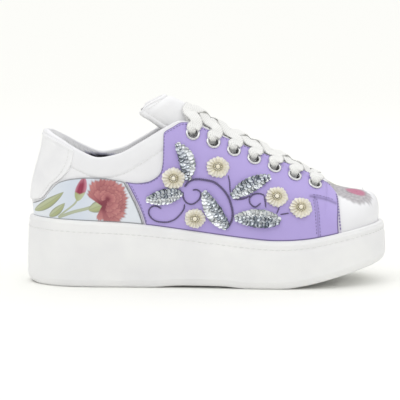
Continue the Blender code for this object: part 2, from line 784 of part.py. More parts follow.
def ribbon(stops, width, thick):
    """Points and faces of a flat strip through the stops."""
    line = np.array([place for place, _ in stops])
    up = np.array([facing for _, facing in stops])
    along = np.gradient(line, axis=0)
    wide = np.cross(up, along)
    wide /= np.linalg.norm(wide, axis=1, keepdims=True)
    up = np.cross(along, wide)
    up /= np.linalg.norm(up, axis=1, keepdims=True)
    corners = [(-1, -1), (1, -1), (1, 1), (-1, 1)]
    rows = [line + wide * (w * width / 2) + up * (h * thick / 2) for w, h in corners]
    points = np.stack(rows, 1).reshape(-1, 3)
    faces = [(3, 2, 1, 0)]
    for i in range(len(line) - 1):
        for j in range(4):
            k = (j + 1) % 4
            faces.append((4 * i + j, 4 * i + k, 4 * i + 4 + k, 4 * i + 4 + j))
    last = 4 * (len(line) - 1)
    faces.append((last, last + 1, last + 2, last + 3))
    return points, faces


def make_laces(finish):
    """A bar across the top pair of eyelets and a crossing from each pair to the next, joined into one."""
    lace = add_object("lace", *ribbon(lace_stops(0, 0, LATERAL), LACE_WIDTH, LACE_THICK), finish)
    for i in range(1, EYELETS):
        for side in (LATERAL, MEDIAL):
            strip = add_object(f"lace_strip_{i}_{side}", *ribbon(lace_stops(i, i - 1, side), LACE_WIDTH, LACE_THICK), finish)
            strip.hide_render = True
            strip.display_type = "WIRE"
            join = lace.modifiers.new(strip.name, "BOOLEAN")
            join.operation = "UNION"
            join.object = strip


def make_flower(name, row, finish):
    """A round flower of petals with a pearl in its middle, draped on the quarter."""
    x, z, radius = np.array(row) * MM
    rim = 2 * FLOWER_PETALS
    angle = np.arange(rim) * 2 * math.pi / rim
    scallop = np.where(np.arange(rim) % 2, 0.9, 1.0)
    rings = [
        (radius * scallop, 0.0),
        (radius * scallop, 0.35 * FLOWER_RISE),
        (0.55 * radius * np.ones(rim), FLOWER_RISE),
        (PEARL_RADIUS * np.ones(rim), 0.8 * FLOWER_RISE),
    ]
    points = [draped(x + r * np.cos(angle), z + r * np.sin(angle), h) for r, h in rings]
    faces = []
    for k in range(len(rings) - 1):
        for i in range(rim):
            j = (i + 1) % rim
            faces.append((k * rim + i, k * rim + j, (k + 1) * rim + j, (k + 1) * rim + i))
    count = len(rings) * rim
    points.append(draped(np.array([x]), np.array([z]), 0.0))
    points.append(draped(np.array([x]), np.array([z]), 1.5 * FLOWER_RISE))
    for i in range(rim):
        j = (i + 1) % rim
        faces.append((count, j, i))
        faces.append((count + 1, count - rim + i, count - rim + j))
    return add_object(name, np.concatenate(points), faces, finish)


def make_leaf(name, row, finish):
    """A pointed leaf with a raised middle, draped on the quarter."""
    base_x, base_z, tip_x, tip_z, width, bow = np.array(row) * MM
    way = np.array([tip_x - base_x, tip_z - base_z])
    left = np.array([-way[1], way[0]]) / np.linalg.norm(way)
    share = np.linspace(0.03, 0.97, LEAF_STEPS)
    middle = np.array([base_x, base_z]) + way * share[:, None] + left * (bow * 4 * share * (1 - share))[:, None]
    half = width / 2 * np.sin(math.pi * share**0.85) ** 0.7
    columns = np.array([-1.0, 0.0, 1.0])
    places = middle[:, None] + left * (half[:, None] * columns)[..., None]
    height = LEAF_RISE * (1 - 0.6 * columns**2)
    top = draped(places[..., 0], places[..., 1], np.broadcast_to(height, places.shape[:2]))
    bottom = draped(places[..., 0], places[..., 1], np.zeros(places.shape[:2]))
    count = places.shape[0] * places.shape[1]
    faces = grid_faces(*places.shape[:2]) + grid_faces(*places.shape[:2], start=count, flip=True)
    open_edges = {}
    for face in faces[: len(faces) // 2]:
        for start, end in zip(face, face[1:] + face[:1]):
            if open_edges.pop((end, start), None) is None:
                open_edges[(start, end)] = True
    faces += [(end, start, start + count, end + count) for start, end in open_edges]
    return add_object(name, np.concatenate([top.reshape(-1, 3), bottom.reshape(-1, 3)]), faces, finish)


def main():
    for old in list(bpy.data.objects):
        bpy.data.objects.remove(old)
    look = finishes()
    cut_tread(make_sole(look["rubber"]))
    make_insole(look["lining"])
    upper = make_upper(look["leather"])
    make_tongue(look["leather"])
    quarters = []
    for side, word in ((LATERAL, "lateral"), (MEDIAL, "medial")):
        quarters.append(make_panel(f"quarter_{word}", QUARTER_ROWS, QUARTER_COLUMNS, QUARTER_LEVELS, side, look["lilac"]))
        make_panel(f"rear_panel_{word}", REAR_ROWS, REAR_COLUMNS, REAR_LEVELS, side, look["printed"])
    make_heel_tab(look["leather"])
    make_eyelets(look["nickel"])
    cut_eyelet_holes(upper, *quarters)
    make_laces(look["cotton"])
    for i, row in enumerate(FLOWER_ROWS):
        make_flower(f"flower_{i + 1}", row, look["petal"])
    for i, row in enumerate(LEAF_ROWS):
        make_leaf(f"leaf_{i + 1}", row, look["sequin"])


main()
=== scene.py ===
import math

import bmesh
import bpy
import numpy as np
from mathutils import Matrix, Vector


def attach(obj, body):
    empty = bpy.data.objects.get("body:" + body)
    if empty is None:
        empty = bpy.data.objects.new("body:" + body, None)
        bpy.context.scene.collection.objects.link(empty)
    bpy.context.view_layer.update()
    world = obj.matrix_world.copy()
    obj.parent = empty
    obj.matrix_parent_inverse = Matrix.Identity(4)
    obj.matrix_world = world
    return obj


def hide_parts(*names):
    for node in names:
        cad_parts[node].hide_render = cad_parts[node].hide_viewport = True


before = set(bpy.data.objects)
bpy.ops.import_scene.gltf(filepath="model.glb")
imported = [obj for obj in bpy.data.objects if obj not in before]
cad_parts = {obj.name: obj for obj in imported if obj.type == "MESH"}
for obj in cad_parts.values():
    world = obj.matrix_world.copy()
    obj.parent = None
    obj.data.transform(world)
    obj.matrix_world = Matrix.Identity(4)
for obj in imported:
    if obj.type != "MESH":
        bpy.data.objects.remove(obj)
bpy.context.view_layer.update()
print("frame loaded:", len(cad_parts), "nodes")

mm = 0.001
lateral, medial = -1, 1     # sign of Y on each side of a right shoe
sides = ((lateral, "lateral"), (medial, "medial"))

# The last and the sole, with the same sizes as the solids
shoe = {
    "length": 305 * mm,
    "toeShift": 5.5 * mm,       # the toe's tip leans to the inner side
    "upperInset": 6.5 * mm,     # the upper stands this far inside the sole's edge
    "cupDepth": 14 * mm,
    "wall": 2.0 * mm,
    "collarPad": 4.5 * mm,
    "panelTop": 1.7 * mm,       # face of the sewn-on panels above the upper
    "gap": 0.3 * mm,
}


def hermite(u, step, start, startSlope, end, endSlope):
    return ((1 + 2 * u) * (1 - u) ** 2 * start + u * (1 - u) ** 2 * step * startSlope
            + u * u * (3 - 2 * u) * end + u * u * (u - 1) * step * endSlope)


def smoothBetween(keys, values, at):    # cubic through the rows that never overshoots them
    step = np.diff(keys)
    rise = np.diff(values) / step
    slope = np.concatenate([rise[:1], np.zeros(len(rise) - 1), rise[-1:]])
    sameWay = rise[:-1] * rise[1:] > 0
    total = np.where(sameWay, rise[:-1] + rise[1:], 1.0)
    slope[1:-1] = np.where(sameWay, 2 * rise[:-1] * rise[1:] / total, 0.0)
    i = np.clip(np.searchsorted(keys, at, side="right") - 1, 0, len(step) - 1)
    u = np.clip((at - keys[i]) / step[i], 0.0, 1.0)
    return hermite(u, step[i], values[i], slope[i], values[i + 1], slope[i + 1])


def smoothRows(rows, at):   # every column of a table, read between its rows
    return [smoothBetween(np.arange(len(rows)), column, at) for column in np.array(rows, float).T]


def travelled(line):    # way along a line up to each of its points
    return np.concatenate([[0.0], np.cumsum(np.linalg.norm(np.diff(line, axis=0), axis=1))])


def curved(rows, count, places=None):   # smooth line through a few points; columns after the places run along
    rows = np.asarray(rows, float)
    run = travelled(rows[:, :places])
    slope = np.gradient(rows, run, axis=0)
    at = np.linspace(0.0, run[-1], count)
    i = np.clip(np.searchsorted(run, at, side="right") - 1, 0, len(rows) - 2)
    step = (run[i + 1] - run[i])[:, None]
    return hermite((at - run[i])[:, None] / step, step, rows[i], slope[i], rows[i + 1], slope[i + 1])


def smoothStep(low, high, value):
    share = np.clip((value - low) / (high - low), 0.0, 1.0)
    return share * share * (3 - 2 * share)


def trough(off, width):     # 1 on a line, falling away on both sides of it
    return np.exp(-(off / width) ** 2)


def station(x):     # 0 at the heel, 1 at the toe, close together at both ends
    share = np.clip(np.asarray(x, float) / shoe["length"] + 0.5, 0.0, 1.0)
    return np.arccos(1 - 2 * share) / math.pi


def columns(names, rows):   # a table in millimetres, read by station
    values = np.array(rows, float) * mm
    return {"keys": station(values[:, 0]), **dict(zip(names.split(), values[:, 1:].T))}


def read(rows, column, a):
    return smoothBetween(rows["keys"], rows[column], np.asarray(a, float))


outlineRows = columns("lateral medial", [
    (-152.5, 0.0, 0.0), (-140.0, -25.0, 25.0), (-122.0, -36.5, 36.0), (-95.0, -41.5, 40.5),
    (-55.0, -43.0, 39.5), (-15.0, -45.5, 40.0), (25.0, -50.0, 44.5), (62.0, -53.0, 50.5),
    (88.0, -52.0, 53.0), (115.0, -46.0, 50.5), (135.0, -33.5, 40.5), (146.0, -18.0, 27.0),
    (152.5, 5.5, 5.5),
])
soleRows = columns("rim underside", [
    (-152.5, 57.4, 3.2), (-146.0, 57.1, 1.0), (-139.0, 56.8, 0.0), (-122.0, 56.2, 0.0),
    (-72.0, 54.1, 0.0), (-50.0, 52.3, 0.0), (-20.0, 48.5, 1.8), (10.0, 44.6, 1.8),
    (34.0, 41.7, 0.0), (56.0, 40.0, 0.0), (64.0, 40.0, 0.2), (80.0, 40.9, 2.4),
    (99.0, 43.8, 6.8), (115.0, 46.9, 11.0), (135.0, 50.2, 16.0), (152.5, 52.5, 21.0),
])
# Each section's wall from the sole's rim to the top line, with the two handles that bend it
sectionRows = columns("topX topHalf topZ lowOut lowUp topOut topDown", [
    (-152.5, -138.0, 0.0, 129.0, 9.0, 24.0, -3.0, 20.0),
    (-145.0, -133.8, 14.0, 127.6, 8.0, 24.0, -2.0, 19.0),
    (-125.0, -121.0, 24.5, 121.5, 5.0, 22.0, 1.0, 17.0),
    (-103.0, -105.0, 30.0, 113.0, 3.5, 20.0, 2.0, 16.0),
    (-85.0, -90.0, 32.5, 108.0, 2.5, 20.0, 2.5, 16.0),
    (-66.0, -75.0, 33.0, 110.6, 2.0, 21.0, 3.0, 17.0),
    (-40.0, -52.0, 31.5, 122.5, 1.8, 24.0, 5.0, 20.0),
    (-18.0, -34.0, 28.0, 133.0, 1.5, 29.0, 8.0, 22.0),
    (-2.0, -22.0, 25.0, 137.8, 1.2, 32.0, 10.0, 22.0),
    (8.0, -14.0, 22.5, 136.8, 1.0, 34.0, 11.0, 20.0),
    (42.0, 29.0, 18.5, 117.8, 0.8, 31.0, 13.0, 13.0),
    (70.0, 63.0, 15.5, 103.0, 0.6, 27.0, 16.0, 9.0),
    (84.0, 83.0, 14.0, 94.0, 0.5, 24.5, 18.0, 6.0),
    (91.0, 91.5, 12.0, 89.9, 0.5, 23.0, 20.0, 4.0),
    (95.0, 96.5, 8.0, 88.0, 0.5, 22.0, 23.0, 2.0),
    (98.0, 98.5, 0.0, 87.2, 0.5, 21.5, 28.0, 1.0),
    (118.0, 110.5, 0.0, 80.8, 0.6, 19.5, 22.0, 0.5),
    (138.0, 124.0, 0.0, 77.9, 1.2, 18.5, 16.5, 0.4),
    (152.5, 132.5, 0.0, 76.9, 2.0, 18.5, 11.5, 0.3),
])
throatFront, throatEnd, topEyelet = station(91 * mm), station(98 * mm), station(8 * mm)


def outline(a, side, inset=0.0):    # plan point of the sole's edge moved inwards, and its outward direction
    a = np.asarray(a, float)
    column = "lateral" if side == lateral else "medial"

    def edge(s):
        return np.stack([-shoe["length"] / 2 * np.cos(math.pi * s), read(outlineRows, column, s)], -1)

    small = 1e-4
    along = edge(np.minimum(a + small, 1.0)) - edge(np.maximum(a - small, 0.0))
    atEnd = (a < small) | (a > 1 - small)
    across = np.stack([np.zeros_like(a), np.where(a < 0.5, side, -side)], -1)
    along = np.where(atEnd[..., None], across, along)
    along /= np.linalg.norm(along, axis=-1, keepdims=True)
    out = np.stack([-side * along[..., 1], side * along[..., 0]], -1)
    return edge(a) - np.asarray(inset)[..., None] * out, out


def centreLine(x):
    return shoe["toeShift"] * smoothStep(40 * mm, 150 * mm, np.asarray(x, float))


def rimHeight(x):
    return read(soleRows, "rim", station(x))


def underside(x):
    return read(soleRows, "underside", station(x))


def ridgeSlope(a):      # the toe's ridge falls at this slope, so both sides meet smoothly on it
    small = 1e-3
    here = np.clip(a, throatEnd + small, 1.0 - small)
    run = read(sectionRows, "topX", here + small) - read(sectionRows, "topX", here - small)
    rise = read(sectionRows, "topZ", here + small) - read(sectionRows, "topZ", here - small)
    return rise / run * smoothStep(throatFront, throatEnd, a)


def skin(a, t, side):   # outer face of the upper: a from heel to toe, t from the sole's rim to the top line
    a, t = np.broadcast_arrays(np.asarray(a, float), np.asarray(t, float))
    plan, out = outline(a, side, shoe["upperInset"])
    foot = np.concatenate([plan, rimHeight(plan[..., 0])[..., None]], -1)
    topX = read(sectionRows, "topX", a)
    topY = centreLine(topX) + side * read(sectionRows, "topHalf", a)
    top = np.stack([topX, topY, read(sectionRows, "topZ", a)], -1)

    def handle(base, outward, upward):
        flat = base[..., :2] + out * outward[..., None]
        return np.concatenate([flat, (base[..., 2] + upward)[..., None]], -1)

    topOut = read(sectionRows, "topOut", a)
    lean = ridgeSlope(a) * out[..., 0] * topOut
    low = handle(foot, read(sectionRows, "lowOut", a), read(sectionRows, "lowUp", a))
    # No drop of the handle at the toe's tip, where both sides meet
    down = read(sectionRows, "topDown", a) * np.where(a > throatEnd, np.abs(out[..., 1]), 1.0)
    high = handle(top, topOut, lean - down)
    t = t[..., None]
    return (1 - t) ** 3 * foot + 3 * t * (1 - t) ** 2 * low + 3 * t * t * (1 - t) * high + t**3 * top


def unit(vectors):
    return vectors / np.maximum(np.linalg.norm(vectors, axis=-1, keepdims=True), 1e-12)


def skinNormal(a, t, side):
    small = 2e-3
    along = skin(np.minimum(a + small, 1.0), t, side) - skin(np.maximum(a - small, 0.0), t, side)
    up = skin(a, np.minimum(t + small, 1.0), side) - skin(a, np.maximum(t - small, 0.0), side)
    normal = -side * np.cross(along, up)
    onMiddle = (a <= 0) | (a >= 1) | ((t >= 1) & (a >= throatEnd))
    normal[..., 1] = np.where(onMiddle, 0.0, normal[..., 1])    # both sides agree on the heel, toe and ridge
    return unit(normal)


def find(x, z, side):   # station and wall share of the skin's point seen from the side at x and z
    x, z = np.broadcast_arrays(np.asarray(x, float), np.asarray(z, float))
    a = station(x)
    rim = rimHeight(x)
    t = np.clip((z - rim) / (read(sectionRows, "topZ", a) - rim), 0.02, 0.98)
    small = 1e-4
    for _ in range(18):
        here = skin(a, t, side)
        byA = (skin(a + small, t, side) - skin(a - small, t, side)) / (2 * small)
        byT = (skin(a, t + small, side) - skin(a, t - small, side)) / (2 * small)
        offX, offZ = x - here[..., 0], z - here[..., 2]
        area = byA[..., 0] * byT[..., 2] - byT[..., 0] * byA[..., 2]
        area = np.where(np.abs(area) < 1e-7, 1e-7, area)
        stepA = (offX * byT[..., 2] - offZ * byT[..., 0]) / area
        stepT = (byA[..., 0] * offZ - byA[..., 2] * offX) / area
        a = np.clip(a + np.clip(stepA, -0.03, 0.03), 0.002, 0.998)
        t = np.clip(t + np.clip(stepT, -0.15, 0.15), 0.0, 1.0)
    return a, t


def raised(a, t, side, height):
    return skin(a, t, side) + skinNormal(a, t, side) * np.asarray(height)[..., None]


def seatedFrames(x, z, height):     # places on the outer quarter's face, with x, up and outward directions
    a, t = find(np.atleast_1d(x), np.atleast_1d(z), lateral)
    normal = skinNormal(a, t, lateral)
    place = raised(a, t, lateral, shoe["panelTop"] + height)
    up = unit(np.array([0.0, 0.0, 1.0]) - normal * normal[..., 2:])
    return place, np.stack([np.cross(up, normal), up, normal], -1)


# Mesh tools
def gridFaces(rows, across, start=0, flip=False, closed=False):
    i, j = np.meshgrid(np.arange(rows - 1), np.arange(across if closed else across - 1), indexing="ij")
    near, far, after = start + i * across, start + (i + 1) * across, (j + 1) % across
    quads = np.stack([near + j, near + after, far + after, far + j], -1).reshape(-1, 4)
    return quads[:, ::-1] if flip else quads


def gridRuns(points):   # ways along both directions of a grid of points
    return [np.insert(np.cumsum(np.linalg.norm(np.diff(points, axis=axis), axis=2), axis), 0, 0.0, axis)
            for axis in (0, 1)]


def closedSheet(outer, inner):      # two grids of points joined all round
    rows, across = outer.shape[:2]
    count = rows * across
    index = np.arange(count).reshape(rows, across)
    border = np.concatenate([index[0], index[1:, -1], index[-1, -2::-1], index[-2:0:-1, 0]])
    after = np.roll(border, -1)
    rim = np.stack([after, border, border + count, after + count], -1)
    faces = [gridFaces(rows, across), gridFaces(rows, across, count, flip=True), rim]
    return np.concatenate([outer.reshape(-1, 3), inner.reshape(-1, 3)]), np.concatenate(faces)


def ball(around=8, rings=5):    # unit ball
    turn = np.arange(around) * 2 * math.pi / around
    rise = np.linspace(-math.pi / 2, math.pi / 2, rings + 1)[:, None]
    grid = np.stack([np.cos(rise) * np.cos(turn), np.cos(rise) * np.sin(turn), np.sin(rise) + 0 * turn], -1)
    return grid.reshape(-1, 3), gridFaces(rings + 1, around, closed=True)


def scattered(shape, places, frames):   # one small shape set at many places
    points, faces = shape
    spread = places[:, None] + np.einsum("kij,mj->kmi", frames, points)
    offset = np.arange(len(places))[:, None, None] * len(points)
    return spread.reshape(-1, 3), (faces[None] + offset).reshape(-1, faces.shape[1])


def joined(parts):
    points, faces, start = [], [], 0
    for some, theirs in parts:
        points.append(some)
        faces.append(theirs + start)
        start += len(some)
    return np.concatenate(points), np.concatenate(faces)


def addPiece(name, points, faces, finish, slot, replaces=(), faceLooks=None, paint=None, weave=None,
             sharp=None):
    mesh = bpy.data.meshes.new(name)
    mesh.from_pydata(np.asarray(points).tolist(), [], np.asarray(faces).tolist())
    for look in finish if isinstance(finish, list) else [finish]:
        mesh.materials.append(look)
    if faceLooks is not None:
        mesh.polygons.foreach_set("material_index", np.asarray(faceLooks, np.int32))
    if paint is not None:
        layer = mesh.color_attributes.new("paint", "FLOAT_COLOR", "POINT")
        layer.data.foreach_set("color", np.concatenate([paint, np.ones((len(paint), 1))], 1).ravel())
    if weave is not None:
        corner = np.zeros(len(mesh.loops), np.int32)
        mesh.loops.foreach_get("vertex_index", corner)
        mesh.uv_layers.new(name="weave").uv.foreach_set("vector", weave[corner].ravel())
    shape = bmesh.new()
    shape.from_mesh(mesh)
    bmesh.ops.remove_doubles(shape, verts=shape.verts, dist=0.004 * mm)
    bmesh.ops.recalc_face_normals(shape, faces=shape.faces)
    shape.to_mesh(mesh)
    shape.free()
    mesh.shade_smooth()
    if sharp:
        mesh.set_sharp_from_angle(angle=math.radians(sharp))
    made = bpy.data.objects.new(name, mesh)
    bpy.context.scene.collection.objects.link(made)
    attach(made, "root")
    if replaces:
        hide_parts(*replaces)
    return made


# Materials
def colourOf(code):     # sRGB hex to linear
    parts = [int(code[i:i + 2], 16) / 255 for i in (1, 3, 5)]
    return np.array([c / 12.92 if c <= 0.04045 else ((c + 0.055) / 1.055) ** 2.4 for c in parts])


def addNode(tree, kind, settings=None, links=None):     # settings: colour stops, sockets or properties
    node = tree.nodes.new("ShaderNode" + kind)
    for key, value in (settings or {}).items():
        if key == "stops":
            for stop, (at, colour) in zip(node.color_ramp.elements, value):
                stop.position = at
                stop.color = (*colour, 1.0)
        elif isinstance(key, int) or key in node.inputs:
            node.inputs[key].default_value = value
        else:
            setattr(node, key, value)
    for key, source in (links or {}).items():
        tree.links.new(source, node.inputs[key])
    return node


def newMaterial(name, settings):
    made = bpy.data.materials.new(name)
    made.use_nodes = True
    shader = made.node_tree.nodes["Principled BSDF"]
    for key, value in settings.items():
        shader.inputs[key].default_value = value
    place = addNode(made.node_tree, "TexCoord")
    return made, made.node_tree, place.outputs["Object"]


def dress(tree, pattern, stops, colours, dyed=False, relief=None, gloss=None):
    # Tone between two colours, times the mesh's own paint where it is dyed, then relief and changes of gloss
    shader = tree.nodes["Principled BSDF"]
    tone = addNode(tree, "ValToRGB", {"stops": zip(stops, colours)}, {"Fac": pattern}).outputs["Color"]
    if dyed:
        paint = addNode(tree, "VertexColor", {"layer_name": "paint"})
        tone = addNode(tree, "Mix", {"data_type": "RGBA", "blend_type": "MULTIPLY", 0: 1.0},
                       {6: paint.outputs["Color"], 7: tone}).outputs[2]
    tree.links.new(tone, shader.inputs["Base Color"])
    if relief:
        height, strength, depth = relief
        bump = addNode(tree, "Bump", {"Strength": strength, "Distance": depth}, {"Height": height})
        tree.links.new(bump.outputs[0], shader.inputs["Normal"])
    if gloss:
        marks, low, high = gloss
        rough = addNode(tree, "MapRange", {"To Min": low, "To Max": high}, {"Value": marks})
        tree.links.new(rough.outputs[0], shader.inputs["Roughness"])


def leather(name, colours, roughness, grainWidth=1.5 * mm, depth=0.05 * mm, dyed=False, coat=0.0):
    made, tree, place = newMaterial(name, {
        "Roughness": roughness, "IOR": 1.5, "Coat Weight": coat, "Coat Roughness": 0.3})
    # Pebbled grain: rounded cells with fine creases between them, and a slow change of tone from the hide
    cells = addNode(tree, "TexVoronoi", {"feature": "SMOOTH_F1", "Scale": 1 / grainWidth, "Smoothness": 0.6},
                    {"Vector": place})
    pores = addNode(tree, "TexNoise", {"Scale": 1 / (0.5 * mm), "Detail": 3.0}, {"Vector": place})
    hide = addNode(tree, "TexNoise", {"Scale": 1 / (22 * mm), "Detail": 4.0}, {"Vector": place})
    relief = addNode(tree, "Math", {"operation": "MULTIPLY_ADD", 1: 0.25},
                     {0: pores.outputs["Fac"], 2: cells.outputs["Distance"]})
    dress(tree, hide.outputs["Fac"], (0.3, 0.7), colours, dyed, (relief.outputs[0], 0.7, depth),
          (pores.outputs["Fac"], roughness - 0.06, roughness + 0.08))
    return made


white, nearWhite = (1.0, 1.0, 1.0), (0.955, 0.955, 0.96)
looks = {
    # Pigmented calf, embossed grain: even white with a satin gloss broken by fine pebbles
    "whiteLeather": leather("calf leather white, pigmented and embossed",
                            (colourOf("#EAEAEC"), colourOf("#F3F3F4")), 0.45),
    # The same hide, printed before it was lasted: flowers keep the grain's gloss
    "toeLeather": leather("calf leather white, printed and embossed", (nearWhite, white), 0.45, dyed=True),
    # Dyed nappa: smoother, finer grain, soft wide highlights
    "lilacLeather": leather("nappa leather lilac, dyed", ((0.95, 0.94, 0.97), white),
                            0.42, 1.1 * mm, 0.035 * mm, dyed=True),
    # Printed film on leather: nearly smooth, with a thin clear coat
    "printLeather": leather("leather with flower print, film coated", ((0.97, 0.97, 0.98), white),
                            0.36, 1.3 * mm, 0.025 * mm, dyed=True, coat=0.2),
}


def woven(name, colours, roughness, thread, depth, sheen, coordinates=None, dyed=False):
    made, tree, place = newMaterial(name, {
        "Roughness": roughness, "IOR": 1.46, "Sheen Weight": sheen, "Sheen Roughness": 0.5})
    if coordinates:
        place = addNode(tree, "UVMap", {"uv_map": coordinates}).outputs["UV"]
    # Two sets of ribs that cross at a slant, as in a braid
    ribs = []
    for turn in (0.7, -0.7):
        slant = (0.0, 0.0 if coordinates else 0.35, turn)
        turned = addNode(tree, "Mapping", {"Rotation": slant}, {"Vector": place})
        wave = addNode(tree, "TexWave", {"Scale": 0.314 / thread, "Distortion": 0.4, "Detail": 1.0},
                       {"Vector": turned.outputs[0]})
        ribs.append(wave.outputs["Fac"])
    braid = addNode(tree, "Math", {"operation": "MAXIMUM"}, {0: ribs[0], 1: ribs[1]})
    fuzz = addNode(tree, "TexNoise", {"Scale": 1 / (0.35 * mm), "Detail": 2.0}, {"Vector": place})
    relief = addNode(tree, "Math", {"operation": "MULTIPLY_ADD", 1: 0.4},
                     {0: fuzz.outputs["Fac"], 2: braid.outputs[0]})
    dress(tree, braid.outputs[0], (0.25, 0.9), colours, dyed, (relief.outputs[0], 0.8, depth))
    return made


# Flat tubular lace, woven cotton: dull, with slanting ribs (drawn about twice as coarse as the yarn, to show)
looks["laceCotton"] = woven("cotton lace white, flat woven", (colourOf("#DDDDDB"), colourOf("#F4F4F1")),
                            0.85, 1.6 * mm, 0.25 * mm, 0.25, "weave")
# Knitted polyester lining over foam: dull grey, faint mesh (drawn coarser than the knit, to show)
looks["lining"] = woven("polyester lining grey, knitted", (colourOf("#A9A7B4"), colourOf("#CBC9D6")),
                        0.9, 1.5 * mm, 0.06 * mm, 0.2)
# Collar lining: its paint holds the white facing, the grey, and painted shade dark further into the shoe
looks["collarLining"] = woven("polyester lining in two tones with painted shade, knitted", ((0.88, 0.88, 0.88), white),
                              0.9, 1.5 * mm, 0.06 * mm, 0.2, dyed=True)
looks["insole"] = woven("polyester sock lining pale grey, knitted",
                        (colourOf("#B9B8C2"), colourOf("#D6D5DE")), 0.9, 1.8 * mm, 0.12 * mm, 0.15)


def moulded():      # compression-moulded rubber: matt, a fine spark-eroded texture from the mould
    made, tree, place = newMaterial("rubber white, compression moulded", {"Roughness": 0.55, "IOR": 1.52})
    texture = addNode(tree, "TexNoise", {"Scale": 1 / (0.7 * mm), "Detail": 4.0, "Roughness": 0.6},
                      {"Vector": place}).outputs["Fac"]
    soil = addNode(tree, "TexNoise", {"Scale": 1 / (40 * mm), "Detail": 3.0}, {"Vector": place})
    dress(tree, soil.outputs["Fac"], (0.3, 0.7), (colourOf("#E9E9EA"), colourOf("#F2F2F1")), False,
          (texture, 0.5, 0.04 * mm), (texture, 0.46, 0.66))
    return made


looks["rubber"] = moulded()


def metal(name, colours, roughness, mark, dyed=False):
    made, tree, place = newMaterial(name, {"Metallic": 1.0, "Roughness": roughness})
    marks = addNode(tree, "TexNoise", {"Scale": 1 / mark, "Detail": 3.0}, {"Vector": place}).outputs["Fac"]
    dress(tree, marks, (0.3, 0.7), colours, dyed, gloss=(marks, roughness * 0.6, roughness * 1.5))
    return made


# Nickel-plated brass: bright, mirror-like, faint rub marks
looks["nickel"] = metal("brass, nickel plated and polished", (colourOf("#C9C9CC"), colourOf("#DEDEDF")),
                        0.14, 2 * mm)
# Metallised polyester film: thin mirrors, each a little different, tinted by paint with a painted highlight
# on one half of each leaf and painted shade on the rest
looks["sequin"] = metal("polyester film, silver metallised", (colourOf("#DDE2E5"), colourOf("#F1F4F5")),
                        0.18, 3 * mm, dyed=True)


def soft(name, colours, streak, settings, depth=0.05 * mm, dyed=False):   # satin, pearl and thread
    made, tree, place = newMaterial(name, settings)
    streaks = addNode(tree, "TexNoise", {"Scale": 1 / streak, "Detail": 2.0}, {"Vector": place})
    fine = streaks.outputs["Fac"]
    dress(tree, fine, (0.35, 0.65), colours, dyed, (fine, 0.4, depth))
    return made


# Polyester satin petals, painted shade darker at the root: soft sheen, light edges with a painted highlight
# on each pleat's raised side
looks["satin"] = soft("polyester satin ivory, heat cut, painted shade at the root", (nearWhite, white), 1.2 * mm,
                      {"Roughness": 0.42, "IOR": 1.5, "Sheen Weight": 0.3, "Subsurface Weight": 0.1,
                       "Subsurface Radius": (0.002, 0.002, 0.001)}, dyed=True)
# Pearl-lacquered bead: glossy, milky
looks["pearl"] = soft("glass bead, pearl lacquered", (colourOf("#E9E1C6"), colourOf("#F5F0E2")), 2 * mm,
                      {"Roughness": 0.16, "IOR": 1.53, "Coat Weight": 0.6, "Coat Roughness": 0.08}, 0.01 * mm)
# Twisted viscose cord: dark, with a silky line along each ply
looks["cord"] = soft("viscose cord plum, two ply twisted", (colourOf("#4A4060"), colourOf("#685C86")),
                     0.6 * mm, {"Roughness": 0.5, "IOR": 1.5, "Sheen Weight": 0.4, "Sheen Roughness": 0.4})
# Bonded polyester thread: fine, slightly glossy
for thread, word, dark, light in (("lilacThread", "violet", "#74679A", "#8A7DB2"),
                                  ("whiteThread", "white", "#DCDCDC", "#ECECEB")):
    looks[thread] = soft(f"polyester thread {word}, bonded", (colourOf(dark), colourOf(light)), 0.5 * mm,
                         {"Roughness": 0.45, "IOR": 1.55, "Sheen Weight": 0.2})
print("materials:", len(looks))

# Rows of sewing, gathered here and made into one piece per thread
sewing = {"lilacThread": [], "whiteThread": []}


def sew(thread, line, normals, pitch=2.8 * mm, length=2.2 * mm, width=0.7 * mm, rise=0.12 * mm):
    run = travelled(line)
    at = np.arange(pitch, run[-1] - pitch / 2, pitch)
    if len(at) < 2:
        return
    place, ahead, normal = (np.stack([np.interp(at + step, run, row) for row in rows.T], -1)
                            for rows, step in ((line, 0.0), (line, 0.3 * mm), (normals, 0.0)))
    normal = unit(normal)
    along = unit(ahead - place)
    across = unit(np.cross(normal, along))
    size = np.array([length / 2, width / 2, width / 2 * 0.7])
    frames = np.stack([along, across, np.cross(along, across)], -1) * size
    sewing[thread].append(scattered(ball(), place + normal * rise, frames))


def sewOn(thread, a, t, side, height, *sizes):      # a row of stitches on the skin
    sew(thread, raised(a, t, side, height), skinNormal(a, t, side), *sizes)


# Sole
sole = {
    "stations": 220,
    "side": [   # inset from the outline, share of the wall's height, fixed rise
        (10.0, 0.0, 0.0), (4.0, 0.0, 0.0), (1.3, 0.0, 1.6), (0.0, 0.0, 6.0),
        (0.7, 0.6, 0.0), (2.0, 1.0, -2.6), (2.9, 1.0, -0.8), (4.2, 1.0, 0.0)],
    "sideSteps": 46,
    "seamBelowRim": 7.0 * mm,       # moulded channel with the sole's own stitching
    "seamDepth": 0.9 * mm,
    "baseLine": 9.0 * mm,           # moulded line above the tread
    "baseDepth": 0.5 * mm,
    "grooves": (-124.0, -108.0, -92.0, -76.0, 36.0, 50.0, 64.0, 78.0, 92.0, 106.0),
    "grooveWidth": 4.0 * mm,
    "grooveDepth": 2.2 * mm,
    "grooveMargin": 15.0 * mm,
    "treadColumns": 48,
}


def soleLoop(a, inset, height):     # out along the lateral side, back along the medial one
    loop, outward = [], []
    for side, order in ((lateral, slice(None)), (medial, slice(-2, 0, -1))):
        plan, out = outline(a[order], side, inset)
        loop.append(np.concatenate([plan, height(plan[:, 0])[:, None]], -1))
        outward.append(np.concatenate([out, np.zeros((len(out), 1))], -1))
    return np.concatenate(loop), np.concatenate(outward)


